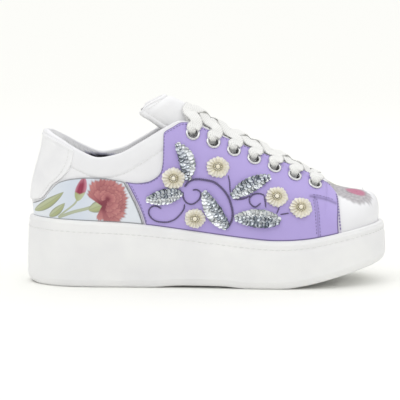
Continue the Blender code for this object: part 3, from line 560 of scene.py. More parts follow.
def crossRows(loop, stations, count):   # rows of points from the lateral edge of a loop to the medial one
    i = np.arange(1, stations)
    start, end = loop[i], loop[len(loop) - i]
    share = np.linspace(0.0, 1.0, count + 1)[1:-1]
    return start[:, None] + (end - start)[:, None] * share[None, :, None]


def capFaces(loopStart, loopCount, stations, innerStart, count):
    inner = innerStart + np.arange((stations - 1) * (count - 1)).reshape(stations - 1, count - 1)
    i = np.arange(1, stations)
    rows = np.concatenate([(loopStart + i)[:, None], inner, (loopStart + loopCount - i)[:, None]], 1)
    ends = [np.full((1, count + 1), loopStart), np.full((1, count + 1), loopStart + stations)]
    rows = np.concatenate([ends[0], rows, ends[1]])
    return np.stack([rows[:-1, :-1], rows[:-1, 1:], rows[1:, 1:], rows[1:, :-1]], -1).reshape(-1, 4)


def makeSole():
    half = sole["grooveWidth"] / 2
    grooves = np.array(sole["grooves"]) * mm
    edges = station((grooves[:, None] + np.array([-half, 0.4 * mm - half, half - 0.4 * mm, half])).ravel())
    a = np.unique(np.concatenate([np.linspace(0.0, 1.0, sole["stations"]), edges]))
    count = len(a) - 1
    rowX = -shoe["length"] / 2 * np.cos(math.pi * a)
    at = np.linspace(0, len(sole["side"]) - 1, sole["sideSteps"])
    loops, outs = [], []
    for inset, share, rise in zip(*smoothRows(sole["side"], at)):
        def height(x, share=share, rise=rise):
            return underside(x) + share * (rimHeight(x) - underside(x)) + rise * mm
        loop, out = soleLoop(a, inset * mm, height)
        below, above = rimHeight(loop[:, 0]) - loop[:, 2], loop[:, 2] - underside(loop[:, 0])
        dent = sole["seamDepth"] * trough(below - sole["seamBelowRim"], 1.1 * mm)
        dent += sole["baseDepth"] * trough(above - sole["baseLine"], 0.8 * mm)
        loops.append(loop - out * dent[:, None])
        outs.append(out)
    cup = shoe["upperInset"] - shoe["gap"]
    loops.append(soleLoop(a, cup, rimHeight)[0])
    loops.append(soleLoop(a, cup, lambda x: rimHeight(x) - shoe["cupDepth"])[0])
    size = len(loops[0])
    faces = [gridFaces(len(loops), size, closed=True)]
    # Tread: bars between cross grooves
    tread = crossRows(loops[0], count, sole["treadColumns"])
    tread[..., 2] = underside(tread[..., 0])
    inGroove = smoothStep(half, half - 0.4 * mm, np.abs(rowX[1:-1, None] - grooves).min(1))[:, None]
    fromEdge = np.minimum(tread[..., 1] - read(outlineRows, "lateral", a[1:-1])[:, None],
                          read(outlineRows, "medial", a[1:-1])[:, None] - tread[..., 1])
    margin = smoothStep(sole["grooveMargin"] - mm, sole["grooveMargin"] + mm, fromEdge)
    tread[..., 2] += sole["grooveDepth"] * inGroove * margin
    bed = crossRows(loops[-1], count, 6)
    bed[..., 2] = rimHeight(bed[..., 0]) - shoe["cupDepth"]
    treadStart = len(loops) * size
    bedStart = treadStart + tread.shape[0] * tread.shape[1]
    faces.append(capFaces(0, size, count, treadStart, sole["treadColumns"]))
    faces.append(capFaces((len(loops) - 1) * size, size, count, bedStart, 6))
    points = np.concatenate([*loops, tread.reshape(-1, 3), bed.reshape(-1, 3)])
    addPiece("soleRubber", points, np.concatenate(faces), looks["rubber"], "rubber_white", ["sole"], sharp=50)
    # Stitches lie in the channel round the whole rim
    below = np.array([np.mean(rimHeight(loop[:, 0]) - loop[:, 2]) for loop in loops[:-2]])
    level = int(np.argmin(np.abs(below - sole["seamBelowRim"])[8:])) + 8
    line, outward = (np.concatenate([rows[level], rows[level][:1]]) for rows in (loops, outs))
    sew("whiteThread", line, outward, 5.0 * mm, 4.0 * mm, 0.9 * mm, 0.1 * mm)


makeSole()
print("sole done")

# Insole
insole = {"thick": 4.0 * mm, "stations": 120, "columns": 40, "dish": 1.6 * mm}


def makeInsole():
    a = np.linspace(0.0, 1.0, insole["stations"] + 1)
    inset = shoe["upperInset"] + shoe["wall"] + 3 * shoe["gap"]
    parts, faces, start = [], [], 0
    for lift in (shoe["gap"], shoe["gap"] + insole["thick"]):
        def height(x, lift=lift):
            return rimHeight(x) - shoe["cupDepth"] + lift
        loop, _ = soleLoop(a, inset, height)
        inner = crossRows(loop, insole["stations"], insole["columns"])
        inner[..., 2] = height(inner[..., 0])
        if lift > shoe["gap"]:      # the top is dished for the foot
            share = np.linspace(-1.0, 1.0, insole["columns"] + 1)[1:-1]
            inner[..., 2] -= insole["dish"] * (1 - share**4)
        parts += [loop, inner.reshape(-1, 3)]
        faces.append(capFaces(start, len(loop), insole["stations"], start + len(loop), insole["columns"]))
        start += len(loop) + inner.shape[0] * inner.shape[1]
    size, top = len(loop), start // 2
    i = np.arange(size)
    j = (i + 1) % size
    faces.append(np.stack([i, j, top + j, top + i], -1))
    addPiece("insoleSock", np.concatenate(parts), np.concatenate(faces), looks["insole"], "lining_grey",
             ["insole"], sharp=50)


makeInsole()

# Printed flowers, drawn in code as plain shapes
inks = {name: colourOf(code) for name, code in {
    "ground": "#D2DBE8", "groundPale": "#E3E8EE", "edge": "#85878A",
    "salmon": "#B66F71", "salmonPale": "#C98A85", "salmonDeep": "#803041",
    "crimson": "#96304E", "crimsonPale": "#C37D8F",
    "leaf": "#ABB180", "leafPale": "#BDC39F", "leafDark": "#868C80", "stem": "#AEB59C",
    "pinkDeep": "#A4466A", "pink": "#BC6486", "pinkPale": "#C4869C",
    "greyDeep": "#7F7A80", "grey": "#A5A1A5", "greyPale": "#CBC7CA",
    "toe": "#EFEFF1", "facing": "#FAFAFB", "lining": "#BCBCD0", "liningPaintedShade": "#22212A",
}.items()}


def mixed(under, colour, share):
    return under + (colour - under) * np.clip(share, 0.0, 1.0)[..., None]


def paintPetal(paint, x, y, base, angle, radius, spread, inksUsed, teeth, blur=0.35 * mm):
    deep, middle, pale = inksUsed       # one fringed petal, from its root to its edge
    across, along = x - base[0], y - base[1]
    reach = np.hypot(across, along)
    turn = (np.arctan2(along, across) - math.radians(angle) + math.pi) % (2 * math.pi) - math.pi
    share = turn / math.radians(spread)
    fringe = np.abs((turn * teeth / math.radians(spread)) % 2 - 1)
    limit = radius * (1 - 0.16 * share**2 - 0.09 * fringe)
    inside = smoothStep(limit + blur, limit - blur, reach) * smoothStep(1.06, 0.96, np.abs(share))
    shade = smoothStep(limit * 1.10 + blur, limit * 0.98, reach) * smoothStep(1.2, 0.95, np.abs(share))
    paint = mixed(paint, deep, 0.45 * shade)
    fold = 0.5 + 0.5 * np.cos(turn * teeth * 2.1 / math.radians(spread) + 0.9 * share)
    rise = np.clip(reach / np.maximum(limit, 1e-6), 0, 1)
    tone = mixed(deep, middle, smoothStep(0.1, 0.62, rise))
    tone = mixed(tone, pale, smoothStep(0.55, 1.0, rise) * (0.35 + 0.5 * fold))
    tone = mixed(tone, deep, 0.45 * smoothStep(0.75, 1.0, fold) * (1 - rise))
    return mixed(paint, tone, inside)


def paintBloom(paint, x, y, centre, radius, turn, inksUsed, squash, blur):      # petals from back to front
    y = centre[1] + (y - centre[1]) / squash
    for count, start, reach, spread, out in ((8, 0, 1.0, 34, 0.10), (7, 22, 0.80, 33, 0.07),
                                             (5, 8, 0.58, 40, 0.05), (4, 40, 0.36, 46, 0.02)):
        for k in range(count):
            angle = turn + start + 360 / count * k + 7 * math.sin(3.1 * k)
            base = (centre[0] + out * radius * math.cos(math.radians(angle)),
                    centre[1] + out * radius * math.sin(math.radians(angle)))
            size = radius * reach * (1 + 0.08 * math.sin(2.3 * k + start))
            paint = paintPetal(paint, x, y, base, angle, size, spread, inksUsed, 4, blur)
    return paint


def paintLeaf(paint, x, y, base, tip, width, bow=0.0):      # slender leaf with a darker edge and a midrib
    way = np.array(tip) - base
    length = np.hypot(*way)
    along = ((x - base[0]) * way[0] + (y - base[1]) * way[1]) / length**2
    across = ((y - base[1]) * way[0] - (x - base[0]) * way[1]) / length
    across = across - bow * 4 * along * (1 - along)
    half = width / 2 * np.sin(math.pi * np.clip(along, 0.0, 1.0) ** 0.8) ** 0.8
    inside = smoothStep(0.25 * mm, -0.15 * mm, np.abs(across) - half) * ((along > 0) & (along < 1))
    tone = mixed(inks["leaf"], inks["leafPale"], smoothStep(-0.6, 0.8, across / (width / 2)))
    tone = mixed(tone, inks["leafDark"], 0.8 * smoothStep(0.55, 1.0, np.abs(across) / np.maximum(half, 1e-6)))
    tone = mixed(tone, inks["leafDark"], 0.5 * smoothStep(0.35 * mm, 0.1 * mm, np.abs(across)))
    return mixed(paint, tone, inside)


def lineDistance(x, y, line):
    best = np.full(np.shape(x), 1.0)
    for (x0, y0), (x1, y1) in zip(line[:-1], line[1:]):
        way = np.array([x1 - x0, y1 - y0])
        share = np.clip(((x - x0) * way[0] + (y - y0) * way[1]) / (way @ way), 0.0, 1.0)
        best = np.minimum(best, np.hypot(x - x0 - share * way[0], y - y0 - share * way[1]))
    return best


def paintStem(paint, x, y, line, width):
    line = curved(np.array(line), 24)
    off = lineDistance(x, y, line)
    paint = mixed(paint, inks["stem"], smoothStep(width / 2 + 0.2 * mm, width / 2 - 0.2 * mm, off))
    return mixed(paint, inks["leafPale"], 0.6 * smoothStep(width / 4, 0.0, off))


# Upper: toe, sides and padded collar in one hollow shell
upper = {
    "outerRows": 66,
    "innerRows": 30,
    "rollRows": 7,
    "padSeam": 19.0 * mm,       # sewn line below the collar's edge
    "puff": 0.9 * mm,
    # Soft troughs where the vamp bends: station and wall share of both ends, depth and half width in mm
    "creases": [
        (0.735, 0.60, 0.742, 0.97, 0.45, 2.6), (0.752, 0.45, 0.768, 0.93, 0.40, 3.0),
        (0.775, 0.50, 0.79, 0.85, 0.25, 3.2)],
    # Lower edge of the collar's facing in mm: a point, its slope, then where it falls faster and by how much
    "facing": (-107.0, 107.5, -0.094, -60.0, -0.45),
    # Print on the toe in mm: inks, x, y, radius, squash, turn and blur of each bloom
    "blooms": [
        ("greyDeep grey greyPale", 120.5, -8.5, 17.5, 0.74, 15, 1.0),
        ("pinkDeep pink pinkPale", 126.0, -4.5, 6.8, 0.85, 40, 2.4)],
    "printLeaves": [    # base, tip and width
        (117, 1, 100, 4, 5.5), (114, -8, 101, -13, 4), (121, 6, 111, 18, 5), (130, 6, 137, 19, 5)],
}


def collarPadding(a, t):
    along = np.clip((topEyelet - a) / 0.12, 0.0, 1.0)
    up = smoothStep(0.42, 0.86, t)
    return shoe["collarPad"] * along * up * (0.45 + 0.55 * np.clip((1.0 - t) / 0.12, 0.0, 1.0))


def paintToe(points):
    x, y = points[..., 0], points[..., 1]
    paint = inks["toe"]
    for baseX, baseY, tipX, tipY, width in np.array(upper["printLeaves"]) * mm:
        paint = paintLeaf(paint, x, y, (baseX, baseY), (tipX, tipY), width, mm)
    # Pale outer petals, then a small pink heart
    for tones, centreX, centreY, radius, squash, turn, blur in upper["blooms"]:
        paint = paintBloom(paint, x, y, (centreX * mm, centreY * mm), radius * mm, turn,
                           [inks[tone] for tone in tones.split()], squash, blur * mm)
    return paint


def paintLining(points):    # white facing at the collar's edge, grey below it, painted shade dark further in
    x, z = points[..., 0] / mm, points[..., 2] / mm
    edgeX, edgeZ, slope, frontX, frontSlope = upper["facing"]
    below = edgeZ + slope * (x - edgeX) + frontSlope * np.clip(x - frontX, 0.0, -frontX) - z
    paint = mixed(inks["facing"], inks["lining"], smoothStep(-0.6, 0.2, below))
    # Painted shade: dark where the inside of the shoe lies in shadow
    return mixed(paint, inks["liningPaintedShade"], smoothStep(0.5, 1.9, below))


def makeUpper():
    end = float(throatEnd)
    a = np.unique(np.concatenate([
        np.linspace(0.0, 0.68, 130), np.linspace(0.68, end, 36), np.linspace(end, 1.0, 100)]))
    bulge = smoothStep(end, float(station(94 * mm)), a)
    parts, faces, faceLooks, paints, start = [], [], [], [], 0
    for side, _ in sides:
        share = np.linspace(0.0, 1.0, 60)
        wallLength = np.linalg.norm(np.diff(skin(a[:, None], share, side), axis=1), axis=2).sum(1)
        edgeThick = shoe["wall"] + collarPadding(a, np.ones_like(a))
        tEnd = 1 - bulge * edgeThick / 2 / wallLength
        rows = 1 - (1 - np.linspace(0.0, 1.0, upper["outerRows"])) ** 1.25      # closer together at the top
        t = tEnd[:, None] * rows
        normal = skinNormal(a[:, None], t, side)
        base = skin(a[:, None], t, side)
        below = (1 - t) * wallLength[:, None]
        onCollar = smoothStep(float(topEyelet), float(topEyelet) - 0.05, a)[:, None]
        seam = upper["padSeam"]
        height = onCollar * upper["puff"] * np.sin(math.pi * np.clip(below / seam, 0.0, 1.0)) ** 0.7
        height -= onCollar * 0.5 * mm * trough(below - seam, 0.8 * mm)
        for a0, t0, a1, t1, depth, width in upper["creases"]:
            line = skin(np.linspace(a0, a1, 14), np.linspace(t0, t1, 14), side)
            off = np.linalg.norm(base[:, :, None] - line, axis=3)
            nearest = off.argmin(2)
            fade = np.sin(math.pi * np.clip(nearest / 13, 0.04, 0.96)) ** 0.6
            height -= depth * mm * fade * trough(off.min(2), width * mm)
        outer = base + normal * height[..., None]
        tIn = tEnd[:, None] * np.linspace(0.0, 1.0, upper["innerRows"])
        inner = raised(a[:, None], tIn, side, -shoe["wall"] - collarPadding(a[:, None], tIn))
        # Rolled edge between both faces, flat where the throat closes
        top, low = outer[:, -1], inner[:, -1]
        up = unit(base[:, -1] - base[:, -2])
        turn = np.linspace(0.0, math.pi, upper["rollRows"] + 2)[1:-1]
        middle, reach = (top + low) / 2, (top - low) / 2
        roll = (middle[:, None] + reach[:, None] * np.cos(turn)[:, None]
                + up[:, None] * (np.sin(turn) * (bulge * edgeThick / 2)[:, None])[..., None])
        foot = np.array([0.0, 0.0, shoe["cupDepth"] - shoe["gap"]])
        strip = np.concatenate([(outer[:, :1] - foot), outer, roll, inner[:, ::-1], (inner[:, :1] - foot)], 1)
        across = strip.shape[1]
        quads = gridFaces(len(a), across, start, closed=True)
        row, column = np.divmod(np.arange(len(quads)), across)
        rollFrom = upper["outerRows"]
        closedThroat = a[row] >= throatEnd - 1e-9
        onRoll = (column >= rollFrom) & (column <= rollFrom + upper["rollRows"])
        kept = ~(closedThroat & onRoll)
        faces.append(quads[kept])
        inside = (column > rollFrom + upper["rollRows"]) & (column < across - 1)
        faceLooks.append(inside[kept].astype(int))
        parts.append(strip.reshape(-1, 3))
        lined = np.arange(across) > rollFrom + upper["rollRows"]
        paints.append(np.where(lined[:, None], paintLining(strip), paintToe(strip)).reshape(-1, 3))
        start += strip.shape[0] * across
        # Sewn line under the padding
        line = a[(a > 0.12) & (a < topEyelet - 0.03)]
        sewOn("whiteThread", line, 1 - seam / np.interp(line, a, wallLength), side, -0.35 * mm, 3.2 * mm)
    return addPiece("upperLeather", np.concatenate(parts), np.concatenate(faces),
                    [looks["toeLeather"], looks["collarLining"]], "leather_white", ["upper"],
                    np.concatenate(faceLooks), np.concatenate(paints))


upperPiece = makeUpper()
print("upper done:", len(upperPiece.data.polygons), "faces")

# Sewn-on panels: foot on the sole's rim in mm, then x and z of the top edge
quarter = {
    "rows": [
        (-52.0, -67.5, 87.8), (-45.5, -58.5, 86.8), (-39.0, -50.0, 87.8), (-32.0, -42.5, 91.2),
        (-25.0, -38.0, 96.5), (-17.0, -36.4, 106.0), (-9.0, -36.2, 117.0), (-2.0, -36.0, 127.0),
        (5.0, -28.5, 132.6), (11.0, -20.5, 136.4), (17.0, -13.0, 135.4), (31.0, 8.0, 126.2),
        (46.0, 29.0, 117.0), (60.0, 48.0, 108.8), (74.0, 65.0, 101.4), (88.0, 82.0, 93.8),
        (100.0, 95.0, 87.0), (106.0, 100.5, 83.6), (109.2, 104.9, 79.4), (111.2, 109.1, 73.6)],
    "length": 165 * mm,     # about, to space the mesh near its edges
    "height": 70 * mm,
    "columns": 250,
    "levels": 96,
    "rounding": 1.1 * mm,
    "colour": "#B6A6E0",
    "edgeColour": "#665B87",
    "strip": (1.5 * mm, 3.0 * mm),      # pale cut edge outside the dark line, at the rear and at the front
    "stripColour": "#CFCAD8",
    "frontSeam": [(88.8, 74.5), (89.6, 70.5), (90.5, 64.5), (91.4, 51.9), (91.9, 42.5)],
    "stayEdge": [(85.5, 75.0), (92.0, 73.9), (99.0, 71.8), (106.5, 68.6)],
}
rear = {
    "rows": [
        (-144.6, -145.2, 68.2), (-141.0, -140.6, 70.0), (-136.5, -135.2, 72.8), (-131.0, -131.2, 78.0),
        (-124.0, -126.6, 83.5), (-116.0, -121.0, 87.6), (-105.0, -110.5, 90.2), (-92.0, -98.0, 91.2),
        (-76.0, -84.0, 90.6), (-53.2, -68.7, 88.0)],
    "length": 85 * mm,
    "height": 33 * mm,
    "columns": 250,
    "levels": 110,
    "rounding": 1.0 * mm,
    # Layers of an open carnation from back to front: base x and z in mm, half spread in degrees, then the
    # angle and length of each petal
    "petals": [
        (-87.0, 68.0, 17, [(-100, 12.5), (128, 17), (-68, 16), (108, 22), (-44, 20), (88, 23),
                           (-22, 21), (66, 24.5), (0, 21), (44, 25), (22, 23)]),
        (-85.5, 69.5, 20, [(118, 13), (-52, 13.5), (86, 16), (-24, 15.5), (58, 17.5), (4, 16), (30, 17.5)]),
        (-83.5, 71.5, 27, [(105, 10), (-62, 9.5), (62, 11.5), (-20, 11), (20, 12)]),
        (-82.5, 73.5, 40, [(155, 5.5), (85, 6.5), (-55, 6), (12, 7.5)])],
}


def panelEdges(rows, side):     # stations and wall shares along a panel's foot and top edge
    at = np.linspace(0, len(rows) - 1, 300)
    rimX, topX, topZ = np.array(smoothRows(rows, at)) * mm
    return np.concatenate([find(rimX, rimHeight(rimX) + 0.15 * mm, side), find(topX, topZ, side)])


def panelAt(edges, u, v):
    lowA, lowT, topA, topT = (np.interp(u, np.linspace(0, 1, edges.shape[1]), row) for row in edges)
    return lowA + (topA - lowA) * v, lowT + (topT - lowT) * v


def edgeSpaced(count, length):      # shares from 0 to 1, close together at both ends for rounded edges
    near = np.array([0.0, 0.08, 0.22, 0.45, 0.75, 1.1]) * mm / length
    first = 1.5 * mm / length
    return np.concatenate([near, np.linspace(first, 1 - first, count), (1 - near)[::-1]])


def panelGrid(piece, side):
    edges = panelEdges(piece["rows"], side)
    u = edgeSpaced(piece["columns"], piece["length"])
    v = edgeSpaced(piece["levels"], piece["height"])
    a, t = panelAt(edges, u[:, None], v)
    base = skin(a, t, side)
    along, upward = gridRuns(base)
    toEnd, toTop = np.minimum(along, along[-1:] - along), upward[:, -1:] - upward
    return base, skinNormal(a, t, side), toEnd, toTop, upward


def panelHeight(piece, toEdge):
    inward = np.clip(toEdge / piece["rounding"], 0.0, 1.0)
    return shoe["panelTop"] * (0.4 + 0.6 * np.sqrt(1 - (1 - inward) ** 2))


def addPanel(name, look, slot, node, base, normal, height, paint=None, back=None):     # back: its underside
    sheet = closedSheet(base + normal * height[..., None], base + normal * (0.05 * mm))
    if paint is not None:
        paint = np.concatenate([paint.reshape(-1, 3), np.broadcast_to(back, (base.size // 3, 3))])
    return addPiece(name, *sheet, looks[look], slot, [node], paint=paint)


def makeQuarter(side, word):
    base, normal, toEnd, toTop, toFoot = panelGrid(quarter, side)
    x, z = base[..., 0], base[..., 2]
    height = panelHeight(quarter, np.minimum(toEnd, toTop))
    seam = lineDistance(x, z, curved(np.array(quarter["frontSeam"]) * mm, 30))
    stay = lineDistance(x, z, curved(np.array(quarter["stayEdge"]) * mm, 30))
    height -= 0.4 * mm * trough(seam, 0.9 * mm) + 0.45 * mm * trough(stay, 1.0 * mm)
    dark = colourOf(quarter["edgeColour"])
    strip = np.where(x < 20 * mm, *quarter["strip"])
    # Painted shade in the troughs along the front seam and the stay's edge
    shade = 0.45 * trough(seam, 0.8 * mm) + 0.55 * trough(stay, 1.2 * mm)
    paint = mixed(colourOf(quarter["colour"]), dark, shade)
    line = np.minimum(np.minimum(toTop, toFoot), np.maximum(toEnd - strip, 0.0))
    paint = mixed(paint, dark, 0.9 * smoothStep(1.15 * mm, 0.55 * mm, line))
    onStrip = smoothStep(strip, strip - 0.3 * mm, toEnd) * (toTop > 0.8 * mm)
    paint = mixed(paint, colourOf(quarter["stripColour"]), onStrip)
    made = addPanel(f"quarterLeather.{word}", "lilacLeather", "leather_lilac", f"quarter_{word}",
                    base, normal, height, paint, dark)
    # Sewing: two rows along the front edge and the front seam, one under the stay's edge
    edges = panelEdges(quarter["rows"], side)
    share = 0.02 + 0.95 * np.linspace(0.0, 1.0, 200)
    for inset in (3.2, 5.4):
        sewOn("lilacThread", *panelAt(edges, 1 - inset / 170, share), side, shoe["panelTop"])
    for row, offset in (("frontSeam", -1.5), ("frontSeam", 1.5), ("stayEdge", 1.6)):
        line = curved(np.array(quarter[row]) * mm, 60)
        way = unit(np.gradient(line, axis=0))
        line = line + np.stack([-way[:, 1], way[:, 0]], -1) * offset * mm
        sewOn("lilacThread", *find(line[:, 0], line[:, 1], side), side, shoe["panelTop"] - 0.1 * mm)
    for u, v in ((np.linspace(0.06, 0.93, 400), 0.972), (3.6 / 165, share)):    # top edge and rear edge
        sewOn("lilacThread", *panelAt(edges, u, v), side, shoe["panelTop"])
    return made


def paintSpray(x, z):   # a carnation with a bud and two leaves
    paint = mixed(inks["groundPale"], inks["ground"],
                  0.75 * smoothStep(-135 * mm, -112 * mm, x) * smoothStep(-84 * mm, -104 * mm, x))
    for baseX, baseZ, tipX, tipZ, width, bow in np.array([
            (-143.4, 61.8, -118.6, 79.0, 7.2, -0.8), (-130.5, 58.2, -117.6, 70.0, 6.2, -0.6)]) * mm:
        paint = paintLeaf(paint, x, z, (baseX, baseZ), (tipX, tipZ), width, bow)
    for width, line in (
            (1.4, [(-121.5, 60.0), (-118.8, 62.3), (-113.7, 66.1), (-108.7, 70.6), (-107.1, 73.2)]),
            (2.6, [(-122.0, 58.6), (-109.9, 63.1), (-99.2, 65.9), (-92.0, 68.3)])):
        paint = paintStem(paint, x, z, np.array(line) * mm, width * mm)
    # Bud: a drop of folded petals in a green cup
    budX, budZ = (x + 106.8 * mm) / mm, (z - 72.0 * mm) / mm
    lean = budX - 0.27 * budZ
    half = 4.5 * np.sin(math.pi * np.clip(budZ / 19.5, 0.0, 1.0) ** 0.9) ** 0.6
    inside = smoothStep(0.3, -0.3, np.abs(lean) - half) * (budZ > 0) * (budZ < 19.5)
    tone = mixed(inks["crimson"], inks["crimsonPale"],
                 smoothStep(0.3, 0.9, np.abs(lean + 0.4) / np.maximum(half, 0.1)) * smoothStep(5, 9, budZ))
    tone = mixed(tone, inks["crimsonPale"], 0.8 * smoothStep(13, 18, budZ))
    tone = mixed(tone, inks["salmonDeep"], 0.5 * smoothStep(0.6, 0.2, np.abs(lean - 0.9 + 0.09 * (budZ - 8))))
    cup = smoothStep(0.8, -0.8, budZ - 5.4 - 2.0 * np.abs(lean) / 4.3)
    tone = mixed(tone, mixed(inks["leaf"], inks["leafPale"], smoothStep(-3, 3, lean)), cup)
    paint = mixed(paint, tone, inside)
    # Green cup behind the open flower, then the flower
    paint = paintLeaf(paint, x, z, (-98.0 * mm, 64.6 * mm), (-74.0 * mm, 73.5 * mm), 10.0 * mm)
    for baseX, baseZ, spread, petals in rear["petals"]:
        for k, (angle, length) in enumerate(petals):
            tones = [mixed(inks[name], inks["salmonDeep"], np.array(0.16 * (k % 3))) for name in
                     ("salmonDeep", "salmon", "salmonPale")]
            paint = paintPetal(paint, x, z, (baseX * mm, baseZ * mm), angle, length * mm, spread, tones, 4)
    return paint


def makeRear(side, word):
    base, normal, toEnd, toTop, toFoot = panelGrid(rear, side)
    height = panelHeight(rear, np.minimum(toEnd, toTop))
    paint = paintSpray(base[..., 0], base[..., 2])
    line = np.minimum(np.minimum(toTop, toFoot), toEnd)
    paint = mixed(paint, inks["edge"], 0.95 * smoothStep(1.2 * mm, 0.6 * mm, line))
    addPanel(f"rearPanelLeather.{word}", "printLeather", "leather_printed", f"rear_panel_{word}",
             base, normal, height, paint, inks["edge"])


quarters = []
for side, word in sides:
    quarters.append(makeQuarter(side, word))
    makeRear(side, word)
print("panels done")

# Heel tab
heelTab = {
    "rows": [(-144.6, 70.6), (-137.6, 73.0), (-133.2, 77.9), (-127.8, 84.8), (-121.5, 89.7), (-115.3, 96.5),
             (-111.5, 104.5), (-110.0, 113.4)],
    "levels": 90,
    "columns": 50,
    "rounding": 1.0 * mm,
}


def makeHeelTab():
    at = np.linspace(0, len(heelTab["rows"]) - 1, heelTab["levels"])
    edgeX, edgeZ = np.array(smoothRows(heelTab["rows"], at)) * mm
    edges = {side: find(edgeX, edgeZ, side) for side, _ in sides}
    middle = (edges[lateral][1] + edges[medial][1]) / 2
    share = np.linspace(0.0, 1.0, heelTab["columns"])
    share = 1 - (1 - share) ** 1.5
    halves = []
    for side, _ in sides:
        edgeA, edgeT = edges[side]
        a = edgeA[:, None] * share
        t = middle[:, None] + (edgeT - middle)[:, None] * share
        halves.append((skin(a, t, side), skinNormal(a, t, side)))
    base = np.concatenate([halves[0][0][:, ::-1], halves[1][0][:, 1:]], 1)
    normal = np.concatenate([halves[0][1][:, ::-1], halves[1][1][:, 1:]], 1)
    along, over = gridRuns(base)
    toEdge = np.minimum(np.minimum(over, over[:, -1:] - over), np.minimum(along + 2 * mm, along[-1:] - along))
    height = panelHeight(heelTab, toEdge)
    height -= 0.35 * mm * trough(toEdge - 3.4 * mm, 0.7 * mm)
    addPanel("heelTabLeather", "whiteLeather", "leather_white", "heel_tab", base, normal, height)
    for side, _ in sides:
        edgeA, edgeT = edges[side]
        lineT = middle + (edgeT - middle) * 0.93
        sewOn("whiteThread", edgeA * 0.93, lineT, side, shoe["panelTop"] - 0.2 * mm)


makeHeelTab()

# Tongue: padded, sewn round its border
tongue = {
    "rows": [   # x, z, half width, sweep of the sides to the heel, drop of the sides
        (105.0, 79.5, 15.0, 0.8, 3.4), (92.0, 87.6, 19.0, 4.0, 8.6), (76.0, 98.5, 22.0, 5.5, 11.8),
        (52.0, 111.3, 24.0, 6.8, 14.0), (28.0, 123.2, 24.5, 8.0, 16.0), (8.0, 133.8, 22.0, 11.0, 18.0),
        (-5.0, 142.2, 20.0, 15.0, 20.0), (-15.0, 148.3, 20.0, 19.0, 19.5), (-23.0, 152.8, 22.0, 21.0, 17.0),
        (-30.0, 156.2, 24.5, 21.5, 15.0), (-35.0, 158.2, 24.5, 20.0, 13.5), (-37.5, 159.0, 20.0, 13.0, 8.0)],
    "thick": [(0, 2.3), (2, 2.3), (3, 4.0), (4, 6.0), (11, 6.0)],      # row of the table, then mm
    "levels": 150,
    "columns": 70,
    "border": 4.6 * mm,
}


def tongueFace(along, share):   # along in table rows, share from -1 lateral to 1 medial
    along, share = np.broadcast_arrays(np.asarray(along, float), np.asarray(share, float))
    last = len(tongue["rows"]) - 1

    def face(at, to):
        x, z, half, sweep, drop = np.array(smoothRows(tongue["rows"], at)) * mm
        return np.stack([x - sweep * to**2, centreLine(x) + half * to, z - drop * to**2], -1)

    small = 0.02
    forth = face(np.minimum(along + small, last), share) - face(np.maximum(along - small, 0), share)
    sideways = face(along, share + small) - face(along, share - small)
    return face(along, share), unit(np.cross(sideways, forth))


def makeTongue():
    last = len(tongue["rows"]) - 1
    along = last * (1 - (1 - np.linspace(0.0, 1.0, tongue["levels"])) ** 1.35)
    share = np.sin(np.linspace(-1.0, 1.0, tongue["columns"]) * math.pi / 2)
    base, up = tongueFace(along[:, None], share)
    run, over = gridRuns(base)
    toEdge = np.minimum(np.minimum(over, over[:, -1:] - over), run[-1:] - run)
    thick = np.interp(along, *np.array(tongue["thick"]).T)[:, None] * mm
    radius = thick * 0.5
    rounding = radius * (1 - np.sqrt(1 - (1 - np.clip(toEdge / radius, 0.0, 1.0)) ** 2))
    channel = 0.8 * mm * trough(toEdge - tongue["border"], 0.8 * mm)
    puff = 0.6 * mm * smoothStep(tongue["border"], tongue["border"] + 7 * mm, toEdge)
    padded = smoothStep(2.0, 5.0, along)[:, None]
    outer = base + up * (padded * (puff - channel) - rounding)[..., None]
    inner = base - up * (thick - rounding)[..., None]
    points, faces = closedSheet(outer, inner)
    half = (tongue["levels"] - 1) * (tongue["columns"] - 1)
    faceLooks = np.zeros(len(faces), int)
    faceLooks[half:2 * half] = (toEdge[:-1, :-1] > tongue["border"]).ravel()
    made = addPiece("tonguePadded", points, faces, [looks["whiteLeather"], looks["lining"]], "leather_white",
                    ["tongue"], faceLooks)
    # Sewing in the channel, up one side, round the tip and down the other
    border, across = tongue["border"], tongue["columns"]
    toTip = run[-1, across // 2] - run[:, across // 2]
    shown = np.flatnonzero((along > 4.5) & (toTip > border))
    onLine = np.abs(toEdge[shown, :across // 2] - border).argmin(1)
    for at in (onLine, across - 1 - onLine):
        sew("whiteThread", outer[shown, at], up[shown, at])
    tipRow = np.abs(toTip - border).argmin()
    onTip = np.minimum(over[tipRow], over[tipRow, -1] - over[tipRow]) > border
    sew("whiteThread", outer[tipRow, onTip], up[tipRow, onTip])


makeTongue()
print("tongue done")

# Eyelets: rolled rings with a short barrel, seven a side
eyelet = {
    "count": 7,
    "first": (-12.0 * mm, 126.9 * mm),      # x and z seen from the side
    "last": (89.6 * mm, 84.2 * mm),
    "barrel": 4.5 * mm,
    "profile": [    # radius and height in mm
        (6.02, -0.05), (6.16, 0.25), (6.05, 0.65), (5.65, 0.98), (5.1, 1.1), (4.6, 1.0),
        (4.2, 0.72), (3.98, 0.3), (3.92, -0.3), (3.9, -3.9), (4.4, -3.9), (4.4, -0.1)],
    "around": 40,
}


def eyeletSeat(i, side):    # centre on the quarter's face, directions to the throat, along it and outwards
    share = i / (eyelet["count"] - 1)
    x, z = (eyelet["first"][k] + share * (eyelet["last"][k] - eyelet["first"][k]) for k in (0, 1))
    a, t = find(np.array(x), np.array(z), side)
    normal = skinNormal(a, t, side)
    centre = skin(a, t, side) + normal * shoe["panelTop"]
    inward = skin(a, t + 0.01, side) - skin(a, t, side)
    inward = unit(inward - normal * (inward @ normal))
    return centre, inward, np.cross(normal, inward), normal


